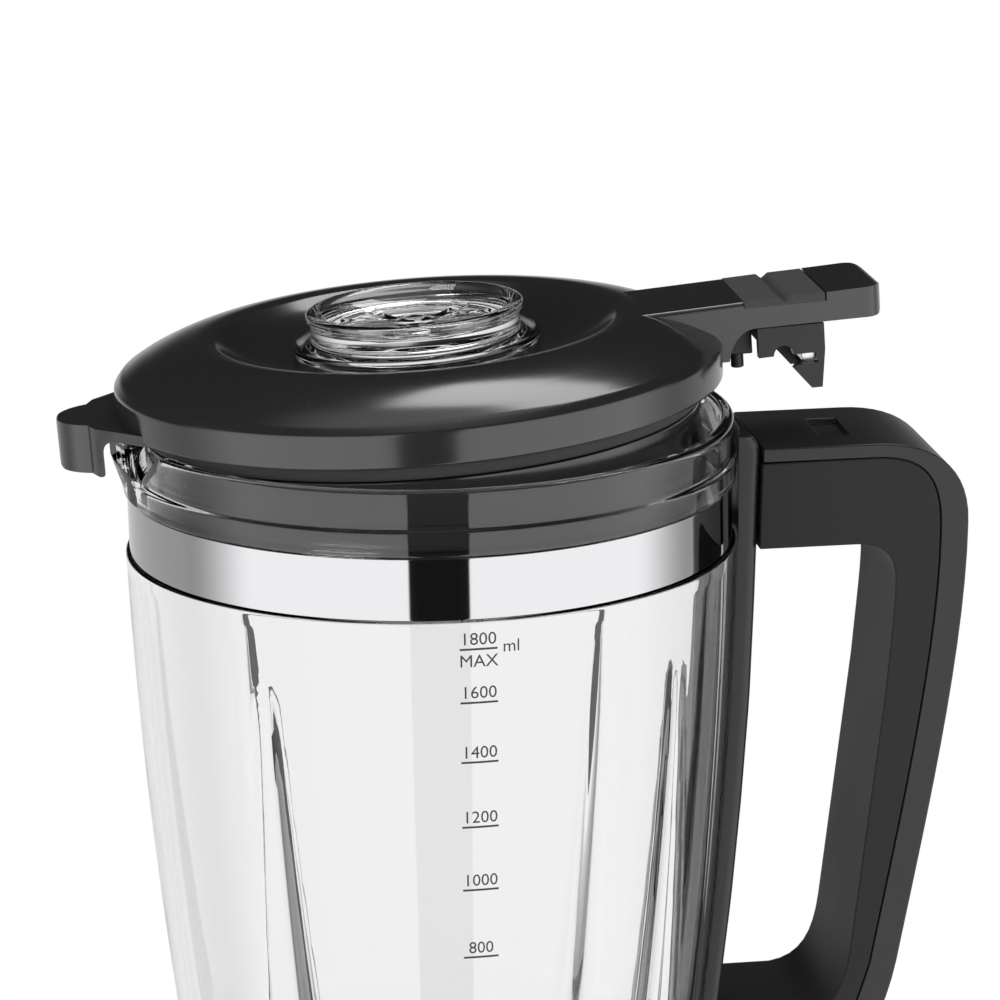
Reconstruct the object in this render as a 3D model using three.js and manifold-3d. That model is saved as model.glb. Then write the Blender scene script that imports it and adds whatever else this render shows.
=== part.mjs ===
// Countertop blender with a 1.8 litre glass jug, built as separate pieces on a motor base.
// Millimetres, +Z up. Everything is laid out around the jug's own axis, handle towards +X and
// measuring marks towards -Y, and the last lines move the origin to the middle of the footprint.
import * as THREE from 'three';
import { mergeVertices } from 'three/addons/utils/BufferGeometryUtils.js';
import Module from 'manifold-3d';

const wasm = await Module();
wasm.setup();

// ---- driving dimensions ----
const gap = 0.3;                    // air between neighbouring pieces
const bandZ = 340;                  // lower edge of the steel band, above the table
const bandTop = 13.85;              // heights from here on are measured from the band's lower edge
const rimTop = 28.9;
const neckR = 70;                   // outer radius of the jug at the band
const neckInnerR = 66.9;
const glassWall = 2.6;
const glassFoot = -155;             // underside of the glass
const glassHoleR = 46;              // opening that the blade unit closes
const lipHalf = 21;                 // half width of the pouring lip
const spineHalf = 18;               // half width of the strip that carries the handle
const handleHalf = 18.7;            // half width of the handle
const handleTop = 21.6;
const lidAjar = 3.16;               // degrees that the handle side of the lid stands up at rest
const lidPivotX = -97.9;            // centre of that small turn
const armHalf = 14.2;               // half width of the lid's arm
const capR = 25.1;
const baseHalf = 88;                // half width of the base at the table
const baseTopHalf = 76;
const baseTop = 150;                // top edge of the housing
const squareness = 4;               // exponent of the base's rounded-square outline
const footHeight = 6;
const shaftR = 4;
const roundSides = 32;              // sides of large turned pieces
const jugSides = 48;                // sides of the jug's glass, whose flutes need more
const smallSides = 16;              // sides of small turned pieces

const rad = THREE.MathUtils.degToRad;
const up = (z) => bandZ + z;

// ---- solids ----
function toSolid(geometry) {
  const g = geometry.clone();
  g.deleteAttribute('normal');
  g.deleteAttribute('uv');
  const merged = mergeVertices(g, 1e-4);
  return new wasm.Manifold(new wasm.Mesh({
    numProp: 3,
    vertProperties: new Float32Array(merged.attributes.position.array),
    triVerts: new Uint32Array(merged.index.array),
  }));
}

function fromSolid(solid) {
  const mesh = solid.getMesh();
  const g = new THREE.BufferGeometry();
  g.setAttribute('position', new THREE.BufferAttribute(new Float32Array(mesh.vertProperties), 3));
  g.setIndex(new THREE.BufferAttribute(new Uint32Array(mesh.triVerts), 1));
  return g;
}

const cut = (body, ...tools) => fromSolid(tools.reduce((s, t) => s.subtract(toSolid(t)), toSolid(body)));
const join = (body, ...more) => fromSolid(more.reduce((s, t) => s.add(toSolid(t)), toSolid(body)));
const common = (body, other) => fromSolid(toSolid(body).intersect(toSolid(other)));

function facingOut(geometry) {
  const g = geometry.clone();
  g.deleteAttribute('normal');
  g.deleteAttribute('uv');
  const merged = mergeVertices(g, 1e-4);
  const p = merged.attributes.position;
  const index = merged.index.array;
  const [a, b, c] = [new THREE.Vector3(), new THREE.Vector3(), new THREE.Vector3()];
  let volume = 0;
  for (let i = 0; i < index.length; i += 3) {
    a.fromBufferAttribute(p, index[i]);
    b.fromBufferAttribute(p, index[i + 1]);
    c.fromBufferAttribute(p, index[i + 2]);
    volume += a.dot(b.cross(c));
  }
  if (volume < 0) {
    for (let i = 0; i < index.length; i += 3) [index[i], index[i + 1]] = [index[i + 1], index[i]];
  }
  return merged;
}

// A turned solid from [radius, height] points; the outline closes on itself or starts and ends on the axis.
function turned(points, sides = roundSides) {
  const outline = points.map(([r, z]) => new THREE.Vector2(r, z));
  const onAxis = points[0][0] === 0 && points[points.length - 1][0] === 0;
  if (!onAxis) outline.push(outline[0].clone());
  return facingOut(new THREE.LatheGeometry(outline, sides).rotateX(Math.PI / 2));
}

const ring = (inner, outer, low, high, sides = roundSides) =>
  turned([[inner, low], [outer, low], [outer, high], [inner, high]], sides);
const disc = (radius, low, high, sides = smallSides) =>
  turned([[0, low], [radius, low], [radius, high], [0, high]], sides);

function block(x0, x1, y0, y1, z0, z1) {
  const g = new THREE.BoxGeometry(x1 - x0, y1 - y0, z1 - z0);
  return g.translate((x0 + x1) / 2, (y0 + y1) / 2, (z0 + z1) / 2);
}

// A side outline in X and Z, given thickness along Y from y0 to y1.
function sideSlab(outline, y0, y1, curveSegments = 6) {
  const shape = outline instanceof THREE.Shape ? outline
    : new THREE.Shape(outline.map(([x, z]) => new THREE.Vector2(x, z)));
  const g = new THREE.ExtrudeGeometry(shape, { depth: y1 - y0, bevelEnabled: false, curveSegments });
  return facingOut(g.rotateX(Math.PI / 2).translate(0, y1, 0));
}

// A plan outline in X and Y, raised from z0 to z1.
function planSlab(shape, z0, z1, curveSegments = 8) {
  const g = new THREE.ExtrudeGeometry(shape, { depth: z1 - z0, bevelEnabled: false, curveSegments });
  return facingOut(g.translate(0, 0, z0));
}

const crossPin = (radius, half, x, z, sides = 12) =>
  new THREE.CylinderGeometry(radius, radius, half * 2, sides).translate(x, 0, z);

// ---- materials ----
const finish = (color, roughness, metalness = 0) =>
  new THREE.MeshStandardMaterial({ color, roughness, metalness });
const blackGloss = finish('#26262a', 0.12);
const blackSatin = finish('#37373b', 0.4);
const blackMatte = finish('#414145', 0.65);
const clearGlass = new THREE.MeshStandardMaterial({
  color: '#eef3f3', roughness: 0.03, transparent: true, opacity: 0.35,
});
const polishedSteel = finish('#e8e8ea', 0.06, 1);
const brushedSteel = finish('#bfc0c2', 0.32, 1);
const darkRubber = finish('#1e1e20', 0.85);
const copper = finish('#b87445', 0.4, 1);
const laminations = finish('#8a8d90', 0.55, 1);
const boardGreen = finish('#1f4a37', 0.6);
const carbon = finish('#2a2a2b', 0.8);

const object = new THREE.Group();
const lid = new THREE.Group();

function add(name, geometry, material, parent = object) {
  const mesh = new THREE.Mesh(geometry, material);
  mesh.name = name;
  parent.add(mesh);
  return mesh;
}

// ---- jug ----
// Outer radius of the glass below the band, from [height, radius] stations.
const bodyStations = [
  [-152, 57.6], [-130, 60.8], [-109, 63.4], [-87, 65.7], [-62, 67.9], [-37, 69.4], [-17, 70.5], [-2, 70.7],
];

function bodyRadius(z) {
  for (let i = 1; i < bodyStations.length; i++) {
    const [z0, r0] = bodyStations[i - 1];
    const [z1, r1] = bodyStations[i];
    if (z <= z1) return r0 + (r1 - r0) * (z - z0) / (z1 - z0);
  }
  return neckR;
}

function ribDepth(r, angle, z) {
  // Four flutes press inwards near the diagonals; each starts as a point and widens and deepens downwards.
  // The inner wall takes all of the depth, the outer wall a shallow groove.
  const along = THREE.MathUtils.clamp((-18 - z) / 92, 0, 1);
  const halfWidth = 8.5 * along;
  if (halfWidth < 0.5) return 0;
  // Angle away from the jug's front or back, positive towards the handle.
  const turn = Math.atan2(Math.cos(angle), Math.abs(Math.sin(angle)));
  const across = Math.min(Math.abs(turn - rad(45)), Math.abs(turn + rad(38))) * 66 / halfWidth;
  const depth = r > bodyRadius(z) - 1 ? 2 : 5;
  return across < 1 ? depth * along * Math.cos(across * Math.PI / 2) ** 2 : 0;
}

function bendByAngle(geometry, move) {
  const p = geometry.attributes.position;
  for (let i = 0; i < p.count; i++) {
    const r = Math.hypot(p.getX(i), p.getY(i));
    if (r < 1e-6) continue;
    const angle = Math.atan2(p.getY(i), p.getX(i));
    const factor = move(r, angle, p.getZ(i)) / r;
    p.setXY(i, p.getX(i) * factor, p.getY(i) * factor);
  }
  return geometry;
}

function glassEnvelope(extra) {
  const outer = bodyStations.map(([z, r]) => [r + extra, up(z)]);
  const neck = [
    [neckR + 0.9 + extra, up(-1)], [neckR + 1.1 + extra, up(bandTop)], [neckR + 1.1 + extra, up(rimTop + 6)],
  ];
  return turned([[0, up(glassFoot - 20)], [outer[0][0], up(glassFoot - 20)], ...outer, ...neck, [0, up(rimTop + 6)]], jugSides * 2);
}

function jugGlass() {
  const outer = bodyStations.map(([z, r]) => [r, up(z)]);
  const inner = bodyStations.slice(1).map(([z, r]) => [r - glassWall, up(z)]).reverse();
  const bandSeat = neckR - 1.1;
  const profile = [
    [glassHoleR, up(glassFoot)], [55.5, up(glassFoot)], ...outer,
    [bandSeat, up(-0.4)], [bandSeat, up(bandTop + 0.4)], [neckR + 0.9, up(bandTop + 0.6)],
    [neckR + 1, up(bandTop + 3)], [68.7, up(20.8)], [neckR + 0.5, up(rimTop - 1.5)], [neckR - 0.6, up(rimTop)],
    [neckInnerR + 0.6, up(rimTop)], [neckInnerR, up(rimTop - 1.5)], [neckInnerR, up(6)],
    ...inner, [51, up(glassFoot + 5)], [glassHoleR, up(glassFoot + 4)],
  ];
  const shell = bendByAngle(turned(profile, jugSides), (r, angle, z) => {
    const towardsWall = THREE.MathUtils.smoothstep(r, 50, 56);
    return r - ribDepth(r, angle, z - bandZ) * towardsWall;
  });
  // The pouring lip: a tongue that leans out of the collar, with a wide V-sided channel cut across the rim.
  const side = sideSlab([[-66, up(15)], [-70, up(15)], [-71.6, up(19)], [-73.9, up(25.6)], [-73.4, up(27)],
    [-66, up(28)]], -24, 24);
  const plan = new THREE.Shape();
  plan.moveTo(-60, -lipHalf);
  plan.lineTo(-67.4, -lipHalf);
  plan.bezierCurveTo(-71.4, -13, -74, -8, -74, 0);
  plan.bezierCurveTo(-74, 8, -71.4, 13, -67.4, lipHalf);
  plan.lineTo(-60, lipHalf);
  const lip = cut(common(side, planSlab(plan, up(10), up(30))), disc(neckInnerR, up(0), up(40), jugSides));
  const floor = sideSlab([[-50, up(20.6)], [-69, up(20.6)], [-75, up(25.4)], [-75, up(40)], [-50, up(40)]], -40, 40);
  const section = new THREE.Shape([[-17, 16], [17, 16], [31, 29.4], [31, 40], [-31, 40], [-31, 29.4]]
    .map(([y, z]) => new THREE.Vector2(y, z)));
  const channel = common(floor, planSlab(section, -80, -50).rotateZ(Math.PI / 2).rotateY(Math.PI / 2)
    .translate(0, 0, bandZ));
  return cut(join(shell, lip), channel);
}

function steelBand() {
  return ring(neckR - 0.7, neckR, up(0), up(bandTop), jugSides);
}

const spineFace = [
  [74.7, 22], [73.9, 0], [73.4, -14.5], [72.3, -38.7], [70.4, -63.3], [68, -88.2], [65.4, -109.5], [61.6, -141],
];

// How far out the strip's flat outer face stands at a height.
function spineX(z) {
  for (let i = 1; i < spineFace.length; i++) {
    const [x0, z0] = spineFace[i - 1];
    const [x1, z1] = spineFace[i];
    if (z >= z1 || i === spineFace.length - 1) return x1 + (x0 - x1) * (z - z1) / (z0 - z1);
  }
}

const screwHeights = [11, -128];

function jugSpine() {
  const outline = [[50, up(-141)], ...spineFace.slice().reverse().map(([x, z]) => [x, up(z)]),
    [72.6, up(24.6)], [66, up(24.6)], [50, up(0)]];
  const strip = sideSlab(outline, -spineHalf, spineHalf);
  const holes = screwHeights.map((z) => new THREE.CylinderGeometry(2.3, 2.3, 30, 12).rotateZ(Math.PI / 2)
    .translate(spineX(z), 0, up(z)));
  return cut(strip, glassEnvelope(gap), ...holes);
}

// The handle's outline runs from the strip, round the outside and back to the strip.
function handleOutside(path, inset) {
  path.lineTo(101, up(handleTop - inset * 0.5));
  path.bezierCurveTo(114, up(handleTop - inset * 0.5), 123.6 - inset, up(16 - inset * 0.6),
    123.4 - inset, up(2 - inset * 0.3));
  path.bezierCurveTo(123.2 - inset, up(-30), 113.5 - inset, up(-75), 107.6 - inset, up(-106));
  path.bezierCurveTo(103 - inset, up(-128 + inset), 92, up(-139 + inset), 78, up(-140 + inset));
}

// The finger side, from the strip below the opening, round it and back to the strip above.
function handleInside() {
  const path = new THREE.Path();
  path.moveTo(spineX(-119) + gap, up(-119));
  path.lineTo(84, up(-119));
  path.bezierCurveTo(92, up(-118), 95, up(-112), 96.3, up(-102));
  path.lineTo(104, up(-40));
  path.bezierCurveTo(105.5, up(-24), 106.3, up(-18), 106.3, up(-11));
  path.bezierCurveTo(106.3, up(-5), 103, up(-2.2), 97, up(-2.2));
  path.lineTo(spineX(-2.2) + gap, up(-2.2));
  return path.getPoints(8);
}

const seamInset = 6.4;

function handleShell() {
  const shape = new THREE.Shape();
  shape.moveTo(spineX(handleTop) + gap, up(handleTop));
  handleOutside(shape, 0);
  shape.lineTo(spineX(-138) + gap, up(-140));
  shape.lineTo(spineX(seamInset - 140) + gap, up(seamInset - 140));
  const seam = new THREE.Path();
  seam.moveTo(spineX(handleTop) + gap, up(handleTop - seamInset * 0.5));
  handleOutside(seam, seamInset);
  seam.getPoints(8).reverse().forEach((p) => shape.lineTo(p.x, p.y));
  const shell = sideSlab(shape, -handleHalf, handleHalf, 8);
  const pocket = block(90.5, 97.5, -8.2, 8.2, up(handleTop - 1.5), up(handleTop + 3));
  return cut(shell, pocket);
}

const gripRound = 4;                // how widely the grip's finger side is rounded over

// Slices across the handle share their outer points, and their finger side draws back towards each flank.
function handleGrip() {
  const inset = seamInset + gap;
  const outer = new THREE.Path();
  outer.moveTo(spineX(16) + gap, up(handleTop - inset * 0.5 - 0.2));
  handleOutside(outer, inset);
  outer.lineTo(spineX(-131) + gap, up(-140 + inset));
  const fixed = outer.getPoints(8);
  const inside = handleInside();
  const away = inside.map((p, i) => {
    const along = inside[Math.min(i + 1, inside.length - 1)].clone().sub(inside[Math.max(i - 1, 0)]).normalize();
    return new THREE.Vector2(along.y, -along.x);
  });
  const steps = [0, 30, 60, 90].map(rad);
  const flank = steps.map((a) => [handleHalf - gripRound + gripRound * Math.sin(a), gripRound * (1 - Math.cos(a))]);
  const slices = [...flank.map(([y, d]) => [-y, d]).reverse(), ...flank];
  const count = fixed.length + inside.length;
  const positions = [];
  for (const [y, d] of slices) {
    fixed.forEach((p) => positions.push(p.x, y, p.y));
    inside.forEach((p, i) => positions.push(p.x + away[i].x * d, y, p.y + away[i].y * d));
  }
  const faces = [];
  for (let k = 0; k < slices.length - 1; k++) {
    for (let i = 0; i < count; i++) {
      const [a, b] = [k * count + i, k * count + (i + 1) % count];
      faces.push(a, b, a + count, b, b + count, a + count);
    }
  }
  const last = (slices.length - 1) * count;
  const end = [];
  for (let i = 0; i < count; i++) end.push(new THREE.Vector2(positions[i * 3], positions[i * 3 + 2]));
  for (const [a, b, c] of THREE.ShapeUtils.triangulateShape(end, [])) {
    faces.push(a, b, c, last + a, last + c, last + b);
  }
  const grip = new THREE.BufferGeometry();
  grip.setAttribute('position', new THREE.Float32BufferAttribute(positions, 3));
  grip.setIndex(faces);
  const holes = screwHeights.map((z) => new THREE.CylinderGeometry(1.9, 1.9, 24, 12).rotateZ(Math.PI / 2)
    .translate(spineX(z) + 2, 0, up(z)));
  return cut(facingOut(grip), ...holes);
}

function handleScrew(z) {
  const shank = new THREE.CylinderGeometry(1.6, 1.6, 12, 12).rotateZ(Math.PI / 2);
  return shank.translate(spineX(z) + 7, 0, up(z));
}

function jugCollar() {
  // Black ring that carries the glass and drops into the base.
  return turned([
    [56.2, 152], [61, 152], [61.5, 153], [61.5, 161], [66.6, 163.5], [67.2, 166], [65.2, 182], [62.4, 196],
    [61.2, 196.8], [60.4, 196], [61.2, 186], [57.6, 184.6], [57.6, 177], [50, 177], [50, 172.5], [56.2, 170],
  ]);
}

function bladeHolder() {
  return turned([
    [7.4, 169], [13, 169], [15, 176.6], [24, 177.5], [55, 177.5], [55, 182.5], [45.4, 182.5], [43.6, 186],
    [30, 186.5], [15, 189], [11, 192.6], [7.4, 192.6],
  ]);
}

const jugGasket = () => ring(46.6, 55, 182.8, 184.7);
const bladeBush = () => ring(shaftR + 0.1, 7.1, 168, 193, smallSides);

function bladeShaft() {
  return turned([[0, 161], [3, 161], [3, 167.8], [shaftR, 168.6], [shaftR, 196], [3, 196], [3, 206], [0, 206]], smallSides);
}

// Two-armed cutter whose tips bend up or down.
function cutter(reach, rise, z) {
  const outline = [[-reach, rise], [-reach * 0.42, 0], [reach * 0.42, 0], [reach, rise]];
  const lower = outline.map(([x, h]) => [x, z + h]);
  const upper = outline.map(([x, h]) => [x, z + h + 1.8]).reverse();
  const arms = sideSlab([...lower, ...upper], -8, 8);
  const plan = new THREE.Shape();
  plan.moveTo(-reach, -1.5);
  plan.lineTo(-reach * 0.3, -7.5);
  plan.lineTo(reach * 0.3, -7.5);
  plan.lineTo(reach, 1.5);
  plan.lineTo(reach * 0.3, 7.5);
  plan.lineTo(-reach * 0.3, 7.5);
  const trimmed = common(arms, planSlab(plan, z - 20, z + 20));
  return cut(trimmed, disc(3.2, z - 20, z + 20, 12));
}

const bladeNut = () => cut(disc(6, 202, 206.4, 6), disc(3.2, 201, 207, 12));

function star(radius, depth, lobes) {
  const shape = new THREE.Shape();
  for (let i = 0; i < lobes * 4; i++) {
    const angle = (i / (lobes * 4)) * Math.PI * 2;
    const r = radius - (i % 4 < 2 ? 0 : depth);
    shape[i ? 'lineTo' : 'moveTo'](r * Math.cos(angle), r * Math.sin(angle));
  }
  return shape;
}

// The socket on the blade shaft drops over the star on the motor shaft.
function drivenCoupling() {
  const cup = turned([[0, 153.6], [18, 153.6], [19, 154.6], [19, 164], [17, 166], [8, 167.4], [0, 167.4]], 24);
  return cut(cup, planSlab(star(14.5, 3, 6), 150, 160.6), disc(3.3, 150, 170, 12));
}

// ---- lid, laid out as if closed; its group turns it ajar ----
const lidOutside = [
  [30, 39.8], [36, 40.2], [41.5, 41.6], [44.6, 43.8], [46.4, 44.8], [49.5, 45.1], [53, 44.8], [58, 43.5],
  [63, 41.4], [67, 39], [69.4, 37], [70, 35.6], [69.6, 29.3],
];

function lidEnvelope(extra) {
  const profile = lidOutside.map(([r, z]) => [r + extra * 0.7, up(z + extra * 0.8)]);
  return turned([[0, up(20)], [69.6 + extra, up(20)], ...profile.reverse(), [0, up(39.8 + extra)]], jugSides);
}

function lidTab() {
  const side = [[-64, up(31.4)], [-82.6, up(31.2)], [-83.7, up(30.2)], [-83.6, up(20.6)], [-82.6, up(19.9)],
    [-74.6, up(19.9)], [-73.6, up(21)], [-73.6, up(25.8)], [-72.6, up(27.8)], [-70.6, up(28.6)], [-64, up(28.8)]];
  const plan = new THREE.Shape();
  plan.moveTo(-60, -29);
  plan.lineTo(-71, -19);
  plan.lineTo(-79.3, -11.5);
  plan.absarc(-72.4, 0, 11.3, rad(-127), rad(127), true);
  plan.lineTo(-71, 19);
  plan.lineTo(-60, 29);
  return common(sideSlab(side, -30, 30), planSlab(plan, up(15), up(35)));
}

function lidShell() {
  const inside = [[67.3, 29.3], [67.4, 34.6], [65, 37], [57, 41], [49.5, 42.5], [46.5, 42], [41.6, 38.6], [36, 37.2],
    [28.2, 37], [28.2, 20.4], [25.8, 20.4], [25.8, 39.8]];
  const shell = turned([...lidOutside, ...inside].map(([r, z]) => [r, up(z)]), roundSides);
  const bore = turned([[0, up(10)], [67.2, up(10)], [67.2, up(34)], [0, up(34)]]);
  return join(shell, cut(lidTab(), bore));
}

// The deep ring under the lid that enters the neck, grooved near its top for the seal.
function lidPlug() {
  return turned([[59.6, 0], [63.8, 0], [64.3, 0.8], [64.3, 24.8], [62.4, 24.8], [62.4, 28.6], [65, 28.9],
    [66.6, 30], [66.6, 33], [60.5, 33], [59.6, 30]].map(([r, z]) => [r, up(z)]));
}

const lidSeal = () => turned([[62.7, 25.1], [64.7, 25.2], [64.9, 26.6], [64.7, 28.1], [62.7, 28.3]]
  .map(([r, z]) => [r, up(z)]));

const cavityHalf = 8.6;             // half width of the slot in the arm that holds the hook's stem
const stemHalf = 8;
const hookHalf = 13.6;
const hookWall = 2.4;
const hookPinX = 90.4;
const hookPinZ = 41;

function lidArm() {
  const side = new THREE.Shape();
  side.moveTo(52, up(40));
  side.lineTo(52, up(45));
  side.lineTo(74, up(45.7));
  side.lineTo(103.4, up(46.6));
  side.bezierCurveTo(105, up(46.4), 106, up(45), 105.9, up(43.4));
  side.lineTo(105.6, up(40.8));
  side.lineTo(104.4, up(39.6));
  side.lineTo(76, up(39.4));
  side.bezierCurveTo(73.6, up(39.2), 71.6, up(37.4), 70.4, up(34.2));
  side.lineTo(70, up(32.2));
  side.lineTo(66, up(32.2));
  const plan = new THREE.Shape();
  plan.moveTo(50, -armHalf);
  plan.lineTo(99.5, -armHalf);
  plan.bezierCurveTo(104, -armHalf, 105.9, -8, 105.9, 0);
  plan.bezierCurveTo(105.9, 8, 104, armHalf, 99.5, armHalf);
  plan.lineTo(50, armHalf);
  const solid = common(sideSlab(side, -20, 20), planSlab(plan, up(25), up(55), 6));
  const rib = block(70.2, 76.6, -hookHalf, hookHalf, up(32.3), up(39.6));
  const cavity = block(87.2, 94, -cavityHalf, cavityHalf, up(30), up(43.3));
  const padSeat = block(73.7, 93.3, -20, 20, up(43.9), up(50));
  return cut(join(solid, rib), lidEnvelope(gap), cavity, padSeat, crossPin(1.4, 12, hookPinX, up(hookPinZ)));
}

function armPad() {
  // Matte grip let into the arm, with a groove across it.
  return sideSlab([[74, up(44.2)], [93, up(44.2)], [93, up(46.3)], [84.9, up(46.1)], [83.4, up(44.9)],
    [82.1, up(46)], [74, up(45.7)]], -armHalf, armHalf);
}

// Two side plates and an outer wall hang below the arm; a stem joins them to the pin.
function latchHook() {
  const side = new THREE.Shape();
  side.moveTo(76.9, up(32.2));
  side.lineTo(80.4, up(32.3));
  side.absarc(82.7, up(32.3), 2.3, Math.PI, 0, true);
  side.lineTo(90.7, up(32.4));
  side.lineTo(90.7, up(30));
  side.lineTo(85.6, up(29.8));
  side.lineTo(84.9, up(29));
  side.lineTo(88.9, up(24.1));
  side.lineTo(91.4, up(24.1));
  side.lineTo(92.4, up(33));
  side.lineTo(92.4, up(39.1));
  side.lineTo(76.9, up(39.1));
  const plates = sideSlab(side, -hookHalf, hookHalf);
  const hollow = block(70, 90.9, hookWall - hookHalf, hookHalf - hookWall, up(20), up(36));
  const stem = block(88.2, 92.6, -stemHalf, stemHalf, up(38), up(42.9));
  return cut(join(cut(plates, hollow), stem), crossPin(1.35, 12, hookPinX, up(hookPinZ)));
}

const latchPin = () => crossPin(1.1, 11.6, hookPinX, up(hookPinZ));
const hookStrip = () => block(87.3, 90.6, hookWall - hookHalf + gap, hookHalf - hookWall - gap, up(30), up(33.2));
const lidPeg = () => disc(1.4, up(28.6), up(32), 12).translate(73.4, -4.5, 0);

function fillerCap() {
  // Clear stopper, hollow below, with a dished top.
  return turned([
    [0, 46.4], [2.2, 46.2], [18.6, 46.2], [20.6, 47.4], [22, 49.4], [23.4, 49.9], [24.8, 49.4], [capR, 48.2],
    [capR - 0.9, 46.8], [capR - 1, 42.6], [28.2, 42.4], [28.4, 41.4], [28.2, 40.1], [25, 40.1], [24.6, 38.4],
    [23.6, 24.6], [22.6, 24], [21.4, 24.6], [22.2, 38], [20.8, 41.8], [18, 43], [0, 43],
  ].map(([r, z]) => [r, up(z)]), 24);
}

// ---- base ----
// Radius of a rounded square of that half width, in the direction of an angle.
const squareFactor = (angle) =>
  (Math.abs(Math.cos(angle)) ** squareness + Math.abs(Math.sin(angle)) ** squareness) ** (-1 / squareness);

const squared = (points, from = 0, to = 1, sides = 40) =>
  bendByAngle(turned(points, sides), (r, angle) => {
    const share = THREE.MathUtils.smoothstep(r, from, to);
    return r * (1 + (squareFactor(angle) - 1) * share);
  });

const housingHalf = (z) => baseHalf + (baseTopHalf - baseHalf) * (z - 4) / (baseTop - 4);
const panelTilt = Math.atan((baseHalf - baseTopHalf) / (baseTop - 4));
const panelZ = 72;
const panelHalfW = 52;
const panelHalfH = 34;

// Places a piece drawn around the origin, facing -Y, on the sloping front of the housing.
function onPanel(geometry) {
  return geometry.rotateX(-panelTilt).translate(0, -housingHalf(panelZ), panelZ);
}

function roundedPanel(halfW, halfH, corner) {
  const s = new THREE.Shape();
  s.moveTo(-halfW + corner, -halfH);
  s.lineTo(halfW - corner, -halfH);
  s.absarc(halfW - corner, -halfH + corner, corner, -Math.PI / 2, 0, false);
  s.lineTo(halfW, halfH - corner);
  s.absarc(halfW - corner, halfH - corner, corner, 0, Math.PI / 2, false);
  s.lineTo(-halfW + corner, halfH);
  s.absarc(-halfW + corner, halfH - corner, corner, Math.PI / 2, Math.PI, false);
  s.lineTo(-halfW, -halfH + corner);
  s.absarc(-halfW + corner, -halfH + corner, corner, Math.PI, Math.PI * 1.5, false);
  return s;
}

function baseHousing() {
  const wall = 2.5;
  const shell = squared([[baseHalf - wall, 4], [baseHalf, 4], [housingHalf(77), 77], [baseTopHalf, baseTop],
    [baseTopHalf - 4, baseTop], [baseTopHalf - 4, baseTop - 2.5], [baseTopHalf - wall, baseTop - 3],
    [housingHalf(77) - wall, 77]]);
  const window = onPanel(sideSlab(roundedPanel(panelHalfW + gap, panelHalfH + gap, 9), -12, 14, 4));
  const cordHole = new THREE.CylinderGeometry(8.3, 8.3, 30, 16).translate(0, housingHalf(24), 24);
  return cut(shell, window, cordHole);
}

function baseDeck() {
  const profile = [
    [26, 151], [26, 153.4], [28, 153.4], [29, 151], [62.2, 151], [62.2, 158.2], [63.6, 160], [68, 159.6],
    [73.4, 156.4], [baseTopHalf - 0.2, 153.4], [baseTopHalf, 150.3], [71.6, 150.3], [71.6, 147], [26, 147],
  ];
  return squared(profile, 66, 71.6);
}

function bottomCover() {
  const half = baseHalf - 3.1;
  const plate = squared([[0, footHeight + gap], [half, footHeight + gap], [half, 9.3], [0, 9.3]]);
  const vents = [];
  for (let i = -4; i <= 4; i++) vents.push(block(i * 8 - 1.6, i * 8 + 1.6, -24, 24, 0, 20));
  return cut(plate, ...vents);
}

const footAt = 58;
const foot = () => turned([[0, 0], [9.5, 0], [11, 1.2], [10.4, footHeight], [0, footHeight]], 16);

function controlPanel() {
  const plate = sideSlab(roundedPanel(panelHalfW, panelHalfH, 9), -3.2, 8, 4);
  const knobHole = new THREE.CylinderGeometry(6.4, 6.4, 40, 24).translate(0, 0, 4);
  const ringSeat = new THREE.CylinderGeometry(25.3, 25.3, 3.2, 32).translate(0, -3.2, 4);
  const keys = buttonXs.map((x) => block(x - 11.4, x + 11.4, -20, 20, buttonZ - 4.4, buttonZ + 4.4));
  return onPanel(cut(plate, knobHole, ringSeat, ...keys));
}

const buttonXs = [-28, 0, 28];
const buttonZ = -26.4;
const button = (x) => onPanel(block(x - 11, x + 11, -4.6, 6, buttonZ - 4, buttonZ + 4));

function knobRing() {
  const g = turned([[21.6, 0], [25, 0], [25, 2.6], [23.6, 3.6], [21.6, 3.6]], 24);
  return onPanel(g.rotateX(Math.PI / 2).translate(0, -1.9, 4));
}

function speedKnob() {
  const cap = turned([[0, -14], [6, -14], [6, 0.6], [20.8, 0.6], [21.2, 2], [20, 15], [18.4, 16.4], [0, 16.4]], 24);
  return onPanel(cap.rotateX(Math.PI / 2).translate(0, -2.1, 4));
}

const dialSwitch = () => onPanel(block(-13, 13, 12.6, 24, -9, 17));
const circuitBoard = () => onPanel(block(-46, 46, 9, 10.8, -31, -12));
const sensorBlock = () => block(-8, 8, 50, 58, 136, 146.6);
const jugMagnet = () => disc(3, 156.5, 160).translate(0, 53, 0);

function motorStator() {
  const outline = roundedPanel(44, 44, 12);
  return cut(planSlab(outline, 52, 100), disc(28.4, 40, 110, 32));
}

const fieldWinding = (z0, z1) => ring(29, 40, z0, z1, 24);

function motorBracket(z0, z1, holeR) {
  const bridge = planSlab(roundedPanel(50, 14, 6), z0, z1);
  return cut(bridge, disc(holeR + gap, z0 - 1, z1 + 1, 16));
}

const bearing = (z0, z1) => ring(shaftR + 1.1, 11, z0, z1, 16);
const motorShaft = () => turned([[0, 14], [5, 14], [5, 149], [4, 150], [4, 154], [0, 154]], smallSides);
const armature = () => ring(5.3, 27.4, 53, 99, 24);
const commutator = () => ring(5.3, 12.5, 28, 46, 16);

function coolingFan() {
  const hub = ring(5.3, 14, 17, 20, 16);
  const blades = [];
  for (let i = 0; i < 9; i++) {
    blades.push(block(12, 36, -0.8, 0.8, 17, 24).rotateZ(i * Math.PI * 2 / 9));
  }
  return join(hub, ring(13, 37, 17, 18.4, 24), ...blades);
}

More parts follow.
